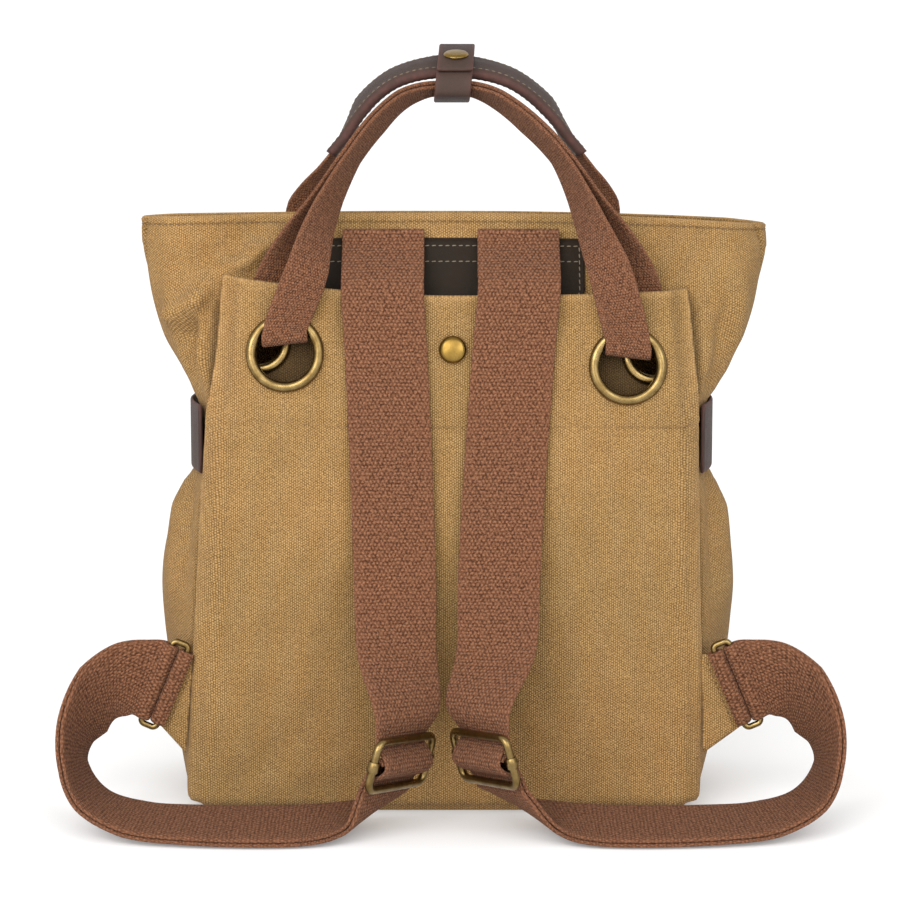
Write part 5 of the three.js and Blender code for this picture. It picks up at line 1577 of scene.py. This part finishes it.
def build_sliders():
    """Sliding-bar adjusters of the shoulder straps."""
    across, up, _ = slider_axes()
    for side, sign in SIDES.items():
        mirror = vector(sign, 1, 1)
        matrix = frame_matrix(vector(*SLIDER_PLACES[side]) * mirror, across * mirror, up * mirror)
        outline = [SLIDER[name] for name in ("half_width", "half_length", "corner", "wire")]
        wire = bent_wire(f"brass_slider_frame_{side}", *outline)
        finish_piece(settle(wire, matrix), "antique_brass", "brass", f"slider_frame_{side}")
        bar = slider_bar(f"brass_slider_bar_{side}")
        finish_piece(settle(bar, matrix), "antique_brass", "brass", f"slider_bar_{side}")


def build_rings():
    """Long brass rings at the strap ends."""
    along, outward, inner, outer = ring_axes()
    for side, sign in SIDES.items():
        mirror = vector(sign, 1, 1)
        matrix = frame_matrix((inner + outer) / 2 * mirror, outward * mirror, along * mirror)
        outline = [RING[name] for name in ("half_length", "corner", "wire")]
        ring = bent_wire(f"brass_ring_{side}", RING["span"] / 2, *outline)
        finish_piece(settle(ring, matrix), "antique_brass", "brass", f"ring_{side}")


# Finishes
class Finish:
    """A material with its node tree and its Principled shader."""

    def __init__(self, name):
        self.material = bpy.data.materials.new(name)
        self.material.use_nodes = True
        self.tree = self.material.node_tree
        self.shader = self.tree.nodes["Principled BSDF"]

    def put(self, socket, value):
        if isinstance(value, bpy.types.NodeSocket):
            self.tree.links.new(value, socket)
        else:
            socket.default_value = value

    def node(self, kind, inputs=None, **settings):
        made = self.tree.nodes.new(kind)
        for key, value in settings.items():
            setattr(made, key, value)
        for key, value in (inputs or {}).items():
            self.put(made.inputs[key], value)
        return made

    def math(self, operation, *values):
        return self.node("ShaderNodeMath", dict(enumerate(values)), operation=operation).outputs[0]

    def span(self, value, low, high, to_low=0.0, to_high=1.0):
        inputs = {"Value": value, "From Min": low, "From Max": high, "To Min": to_low, "To Max": to_high}
        return self.node("ShaderNodeMapRange", inputs).outputs["Result"]

    def vector_math(self, operation, inputs, output=0):
        return self.node("ShaderNodeVectorMath", inputs, operation=operation).outputs[output]

    def mix(self, share, first, second, blend="MIX"):
        made = self.node("ShaderNodeMix", data_type="RGBA", blend_type=blend)
        self.put(made.inputs["Factor"], share)
        for socket, value in ((made.inputs[6], first), (made.inputs[7], second)):
            self.put(socket, value if isinstance(value, bpy.types.NodeSocket) else (*value, 1))
        return made.outputs[2]

    def times(self, first, second):
        return self.mix(1.0, first, second, "MULTIPLY")

    def object_place(self):
        return self.node("ShaderNodeTexCoord").outputs["Object"]

    def cloth_place(self):
        return self.node("ShaderNodeUVMap", uv_map=CLOTH_UV).outputs["UV"]

    def wear(self):
        return self.node("ShaderNodeAttribute", attribute_name=WEAR_AND_PAINTED_SHADE).outputs["Fac"]

    def noise(self, place, scale, detail=3.0, roughness=0.55):
        inputs = {"Vector": place, "Scale": scale, "Detail": detail, "Roughness": roughness}
        return self.node("ShaderNodeTexNoise", inputs).outputs["Fac"]

    def bump(self, height, distance, strength=1.0, under=None):
        inputs = {"Height": height, "Distance": distance, "Strength": strength}
        if under is not None:
            inputs["Normal"] = under
        return self.node("ShaderNodeBump", inputs).outputs["Normal"]

    def set_shader(self, **values):
        for key, value in values.items():
            self.put(self.shader.inputs[key.replace("_", " ")], value)


def tinted(colour, shares):
    """A colour with each channel multiplied."""
    return tuple(min(1.0, channel * share) for channel, share in zip(colour, shares))


def wandering_cloth(finish, wander):
    """The two cloth positions, pushed a little to and fro so that the yarns wander."""
    place = finish.cloth_place()
    inputs = {"Vector": place, "Scale": WANDER["scale"], "Detail": WANDER["detail"]}
    drift = finish.node("ShaderNodeTexNoise", inputs).outputs["Color"]
    centred = finish.vector_math("SUBTRACT", {0: drift, 1: (0.5, 0.5, 0.5)})
    pushed = finish.vector_math("SCALE", {0: centred, "Scale": wander})
    moved = finish.vector_math("ADD", {0: place, 1: pushed})
    return finish.node("ShaderNodeSeparateXYZ", {0: moved}).outputs


def staggered_bumps(finish, across, pitch, along, row_pitch, ribs):
    """Height from 0 to 1 of round bumps staggered in rows; ribs deepens the gaps between the rows."""
    def wave(value, period):
        return finish.math("COSINE", finish.math("MULTIPLY", value, math.tau / period))

    lattice = finish.math("MULTIPLY", wave(across, pitch), wave(along, 2 * row_pitch))
    rows = finish.math("MULTIPLY", wave(along, row_pitch), ribs)
    total = finish.math("MULTIPLY_ADD", lattice, 2.0, rows)
    return finish.span(total, -1.2 - ribs / 2, 2.0 + ribs)


def roughened(finish, height, layers):
    """Height with layers of noise added to it."""
    for values, reach in layers:
        layer = finish.noise(finish.cloth_place(), *values)
        height = finish.math("ADD", height, finish.span(layer, 0.3, 0.7, -reach, reach))
    return height


def canvas_finish(sizes, colours):
    """Cotton canvas with fine upright ribs, mottled, lighter where rubbed, and darkened by painted shade
    where its wear attribute falls below zero.
    """
    finish = Finish("canvas_cloth")
    base = tuple(colours.canvas)
    parts = wandering_cloth(finish, WANDER["canvas"])
    bumps = staggered_bumps(finish, parts[1], 1.25 * sizes.canvas_yarn, parts[0], sizes.canvas_yarn, 1.3)
    place = finish.object_place()
    yarn = roughened(finish, bumps, CANVAS_YARN)
    gaps, crowns, worn = (tinted(base, CANVAS_TINTS[name]) for name in ("gaps", "crowns", "rubbed"))
    # Darker yarn gaps and lighter crowns: partly the yarns' tone, partly painted shade and painted highlight
    cloth = finish.mix(finish.span(yarn, 0.0, 0.95), gaps, crowns)
    broad = finish.span(finish.noise(place, 11.0, 4.0), 0.32, 0.7)
    patches = finish.span(finish.noise(place, 60.0, 4.0, 0.6), 0.3, 0.72)
    mottle = finish.mix(broad, *CANVAS_MOTTLE["broad"])
    mottle = finish.times(mottle, finish.mix(patches, *CANVAS_MOTTLE["patches"]))
    cloth = finish.times(cloth, mottle)
    patchy = finish.span(finish.noise(place, 160.0), 0.35, 0.7, 0.15, 0.5)
    rubbed = finish.math("MULTIPLY", finish.wear(), patchy)
    cloth = finish.mix(finish.math("MAXIMUM", rubbed, 0.0), cloth, worn)
    # Painted shade: below zero the wear attribute darkens the canvas towards the shade colour inside the
    # pocket, in the seam crease and in the stitch groove
    cloth = finish.mix(finish.span(finish.wear(), -1.0, 0.0, 0.8, 0.0), cloth, PAINTED_SHADE)
    normal = finish.bump(finish.noise(place, 75.0, 4.0), 0.0012, 0.5)
    normal = finish.bump(yarn, 0.0004, 0.8, normal)
    finish.set_shader(Base_Color=cloth, Normal=normal, Roughness=0.92, Sheen_Weight=0.03,
                      Sheen_Roughness=0.6, Specular_IOR_Level=0.08)
    return finish.material


def webbing_finish(name, yarn, colours):
    """Heavy cotton webbing with round pebbled grains in staggered rows."""
    finish = Finish(name)
    base = tuple(colours.webbing)
    parts = wandering_cloth(finish, WANDER["webbing"])
    bumps = staggered_bumps(finish, parts[0], yarn, parts[1], 0.92 * yarn, 1.0)
    grain = roughened(finish, bumps, WEBBING_GRAIN)
    gaps, crowns, edges = (tinted(base, WEBBING_TINTS[name]) for name in ("gaps", "crowns", "edges"))
    # Darker grain gaps and lighter crowns: partly the webbing's tone, partly painted shade and painted
    # highlight
    cloth = finish.mix(finish.span(grain, -0.15, 1.1), gaps, crowns)
    broad = finish.span(finish.noise(finish.object_place(), 14.0, 4.0), 0.3, 0.7)
    cloth = finish.times(cloth, finish.mix(broad, *WEBBING_MOTTLE))
    cloth = finish.mix(finish.math("MULTIPLY", finish.wear(), 0.3), cloth, edges)
    normal = finish.bump(grain, 0.0008, 1.0)
    finish.set_shader(Base_Color=cloth, Normal=normal, Roughness=0.9, Sheen_Weight=0.03,
                      Sheen_Roughness=0.5, Specular_IOR_Level=0.08)
    return finish.material


def leather_finish(name, base, edge):
    """Waxed leather with a fine grain, cloudy colour and rubbed cut edges."""
    finish = Finish(name)
    base = tuple(base)
    place = finish.object_place()
    clouds = finish.span(finish.noise(place, 38.0, 5.0, 0.6), 0.3, 0.72)
    scuffs = finish.span(finish.noise(place, 210.0, 3.0, 0.7), 0.56, 0.75, 0.0, 0.35)
    inputs = {"Vector": place, "Scale": 1250.0}
    cells = finish.node("ShaderNodeTexVoronoi", inputs, feature="DISTANCE_TO_EDGE")
    pores = finish.span(cells.outputs["Distance"], 0.0, 0.22)
    skin = finish.mix(clouds, *(tinted(base, shares) for shares in LEATHER_CLOUDS))
    skin = finish.mix(scuffs, skin, tinted(base, LEATHER_TINTS["scuffs"]))
    skin = finish.mix(finish.span(pores, 0.0, 0.6, 0.35, 0.0), skin, tinted(base, LEATHER_TINTS["pores"]))
    patchy = finish.span(finish.noise(place, 260.0), 0.3, 0.7, 0.2, 0.75)
    skin = finish.mix(finish.math("MULTIPLY", finish.wear(), patchy), skin, edge)
    normal = finish.bump(finish.noise(place, 120.0, 4.0), 0.0008, 0.4)
    normal = finish.bump(pores, 0.00012, 0.7, normal)
    rough = finish.span(clouds, 0.0, 1.0, 0.5, 0.64)
    finish.set_shader(Base_Color=skin, Normal=normal, Roughness=rough, Specular_IOR_Level=0.12)
    return finish.material


def brass_finish(name, base, dark, polish):
    """Antique brass, browned in patches and brighter where it is rubbed."""
    finish = Finish(name)
    base = tuple(base)
    place = finish.object_place()
    patina = finish.span(finish.noise(place, 130.0, 4.0, 0.6), 0.35, 0.7)
    scratches = finish.noise(place, 1600.0, 2.0, 0.7)
    metal = finish.mix(finish.math("MULTIPLY", patina, dark), base, tinted(base, BRASS_TINTS["browned"]))
    dulled = finish.math("ADD", patina, finish.math("MULTIPLY", scratches, 0.4))
    rough = finish.span(dulled, 0.0, 1.4, polish, polish + 0.2)
    normal = finish.bump(scratches, 0.00004, 0.5)
    finish.set_shader(Base_Color=metal, Metallic=1.0, Roughness=rough, Normal=normal)
    return finish.material


def thread_finish(name, base):
    """Twisted sewing thread."""
    finish = Finish(name)
    base = tuple(base)
    twist = finish.noise(finish.object_place(), 2600.0, 2.0)
    shade = finish.mix(finish.span(twist, 0.35, 0.65), *(tinted(base, shares) for shares in THREAD_TWIST))
    finish.set_shader(Base_Color=shade, Normal=finish.bump(twist, 0.0001, 0.7), Roughness=0.75)
    return finish.material


def floor_finish(name, base, near):
    """Pale studio paper with a faint cloud in its tone, greyer near its middle as painted shade where the
    softboxes light it most.
    """
    finish = Finish(name)
    base = tuple(base)
    place = finish.object_place()
    cloud = finish.noise(place, 1.2, 2.0)
    tone = finish.mix(cloud, tinted(base, (FLOOR_CLOUD,) * 3), base)
    # Painted shade near the bag, offsetting the softboxes' light there
    distance = finish.vector_math("LENGTH", {0: place}, "Value")
    far = finish.span(distance, FLOOR_TONE["start"], FLOOR_TONE["end"])
    tone = finish.mix(far, tinted(base, (near,) * 3), tone)
    finish.set_shader(Base_Color=tone, Roughness=0.8, Specular_IOR_Level=0.2)
    finish.set_shader(Emission_Color=(1, 1, 1, 1), Emission_Strength=STAGE["glow"])
    return finish.material


def finish_piece(piece, material, slot, *nodes):
    """Gives a finished piece its material and its body, and hides the CAD nodes that it stands for; its slot
    is not used.
    """
    piece.data.materials.clear()
    piece.data.materials.append(bpy.data.materials[material])
    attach(piece, "root")
    if nodes:
        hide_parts(*nodes)


# Stage
def aimed_object(name, data, place, aim):
    """Light or camera at a place, turned towards an aim point."""
    made = bpy.data.objects.new(name, data)
    made.location = place
    made.rotation_euler = (Vector(aim) - Vector(place)).to_track_quat("-Z", "Y").to_euler()
    bpy.context.scene.collection.objects.link(made)
    return made


def add_softbox(name):
    """Square area light that faces the bag."""
    data = bpy.data.lights.new(f"{name}_softbox", "AREA")
    data.shape = "SQUARE"
    data.size = SOFTBOX["size"]
    data.energy = STAGE[name]
    aimed_object(data.name, data, (SOFTBOX["x"][name], SOFTBOX["y"], SOFTBOX["z"]), SOFTBOX["aim"])


def add_camera():
    """Camera at the photograph's viewing angle."""
    data = bpy.data.cameras.new("photo_camera")
    data.lens = CAMERA["lens"]
    data.sensor_width = CAMERA["sensor"]
    rise = math.radians(CAMERA["elevation"])
    aim = Vector(CAMERA["aim"])
    place = aim + CAMERA["distance"] * Vector((0, -math.cos(rise), math.sin(rise)))
    bpy.context.scene.camera = aimed_object("photo_camera", data, place, aim)


def build_stage(colours):
    """Floor, backdrop, soft light, white surroundings and the camera."""
    upright = {"location": (0, STAGE["backdrop"], 0), "rotation": (math.pi / 2, 0, 0)}
    for name, near, placing in (("floor", FLOOR_TONE["near"], {}), ("backdrop", 1, upright)):
        deselect_all()
        bpy.ops.mesh.primitive_plane_add(size=STAGE["floor"], **placing)
        plane = bpy.context.object
        plane.name = plane.data.name = name
        plane.data.materials.append(floor_finish(f"studio_{name}", colours.floor, near))
    world = bpy.data.worlds.new("studio")
    world.use_nodes = True
    background = world.node_tree.nodes["Background"]
    background.inputs["Color"].default_value = (1, 1, 1, 1)
    background.inputs["Strength"].default_value = STAGE["surroundings"]
    scene = bpy.context.scene
    scene.world = world
    scene.view_settings.view_transform = "Standard"
    for name in SOFTBOX["x"]:
        add_softbox(name)
    add_camera()


class BackpackOperator:
    """Shared parts of the backpack's operators."""

    bl_options = {"REGISTER", "UNDO"}

    def execute(self, context):
        self.build(context.scene.backpack_sizes, context.scene.backpack_colours)
        return {"FINISHED"}


class BACKPACK_OT_finishes(BackpackOperator, bpy.types.Operator):
    """Makes the canvas, webbing, leather, brass and thread materials"""

    bl_idname = "backpack.finishes"
    bl_label = "Finishes"

    def build(self, sizes, colours):
        canvas_finish(sizes, colours)
        webbing_finish("shoulder_webbing", sizes.webbing_yarn, colours)
        webbing_finish("handle_webbing", sizes.handle_yarn, colours)
        leather_finish("yoke_leather", colours.leather_dark, DARK_LEATHER_EDGE)
        leather_finish("brown_leather", colours.leather_brown, BROWN_LEATHER_EDGE)
        brass_finish("antique_brass", colours.brass, dark=0.92, polish=0.22)
        brass_finish("stud_brass", tinted(colours.brass, BRASS_TINTS["stud"]), dark=0.6, polish=0.22)
        thread_finish("canvas_thread", colours.canvas_thread)
        thread_finish("panel_thread", tinted(colours.canvas_thread, PANEL_THREAD_TINT))
        thread_finish("leather_thread", colours.leather_thread)


class BACKPACK_OT_canvas_bag(BackpackOperator, bpy.types.Operator):
    """Lofts the canvas bag with its hemmed rim and stitches the hem"""

    bl_idname = "backpack.canvas_bag"
    bl_label = "Canvas bag"

    def build(self, sizes, colours):
        bag = build_bag(sizes)
        cut_grommet_holes(bag, "wall", sizes.canvas / MM)
        stitch_rim(sizes)


class BACKPACK_OT_pocket_panel(BackpackOperator, bpy.types.Operator):
    """Hangs the pocket panel on the bag's back wall and stitches its facing"""

    bl_idname = "backpack.pocket_panel"
    bl_label = "Pocket panel"

    def build(self, sizes, colours):
        build_panel(sizes)
        stitch_panel(sizes)


class BACKPACK_OT_leather_trim(BackpackOperator, bpy.types.Operator):
    """Sews on the leather yoke and the two side straps"""

    bl_idname = "backpack.leather_trim"
    bl_label = "Leather trim"

    def build(self, sizes, colours):
        build_yoke(sizes)
        build_side_straps(sizes)


class BACKPACK_OT_shoulder_straps(BackpackOperator, bpy.types.Operator):
    """Threads the shoulder straps and sews the ring tabs"""

    bl_idname = "backpack.shoulder_straps"
    bl_label = "Shoulder straps"

    def build(self, sizes, colours):
        build_shoulder_straps(sizes)
        build_ring_tabs(sizes)


class BACKPACK_OT_handles(BackpackOperator, bpy.types.Operator):
    """Bends the two handles and puts the grip and the keeper on them"""

    bl_idname = "backpack.handles"
    bl_label = "Handles"

    def build(self, sizes, colours):
        build_handles(sizes)
        build_grip(sizes)
        build_keeper(sizes)


class BACKPACK_OT_brass(BackpackOperator, bpy.types.Operator):
    """Turns the grommets, stud and rivet and bends the sliders and rings"""

    bl_idname = "backpack.brass"
    bl_label = "Brass fittings"

    def build(self, sizes, colours):
        build_grommets(sizes)
        build_studs(sizes)
        build_sliders()
        build_rings()


class BACKPACK_OT_stage(BackpackOperator, bpy.types.Operator):
    """Lays the floor, hangs the lights and sets the camera"""

    bl_idname = "backpack.stage"
    bl_label = "Stage"

    def build(self, sizes, colours):
        build_stage(colours)


OPERATORS = (
    BACKPACK_OT_finishes,
    BACKPACK_OT_stage,
    BACKPACK_OT_canvas_bag,
    BACKPACK_OT_pocket_panel,
    BACKPACK_OT_leather_trim,
    BACKPACK_OT_shoulder_straps,
    BACKPACK_OT_handles,
    BACKPACK_OT_brass,
)


class BACKPACK_PT_sidebar(bpy.types.Panel):
    """Lists the backpack's operators, sizes and colours"""

    bl_idname = "BACKPACK_PT_sidebar"
    bl_label = "Backpack"
    bl_space_type = "VIEW_3D"
    bl_region_type = "UI"
    bl_category = "Backpack"

    def draw(self, context):
        layout = self.layout
        for operator in OPERATORS:
            layout.operator(operator.bl_idname)
        for settings in (context.scene.backpack_sizes, context.scene.backpack_colours):
            for name in settings.bl_rna.properties.keys():
                if name not in {"rna_type", "name"}:
                    layout.prop(settings, name)


CLASSES = (BackpackSizes, BackpackColours, *OPERATORS, BACKPACK_PT_sidebar)


def register():
    """Adds the classes and the scene's settings."""
    for item in CLASSES:
        bpy.utils.register_class(item)
    bpy.types.Scene.backpack_sizes = bpy.props.PointerProperty(type=BackpackSizes)
    bpy.types.Scene.backpack_colours = bpy.props.PointerProperty(type=BackpackColours)


def unregister():
    """Removes the scene's settings and the classes."""
    del bpy.types.Scene.backpack_colours
    del bpy.types.Scene.backpack_sizes
    for item in reversed(CLASSES):
        bpy.utils.unregister_class(item)


def main():
    register()
    for operator in OPERATORS:
        group, name = operator.bl_idname.split(".")
        getattr(getattr(bpy.ops, group), name)()


if __name__ == "__main__":
    main()
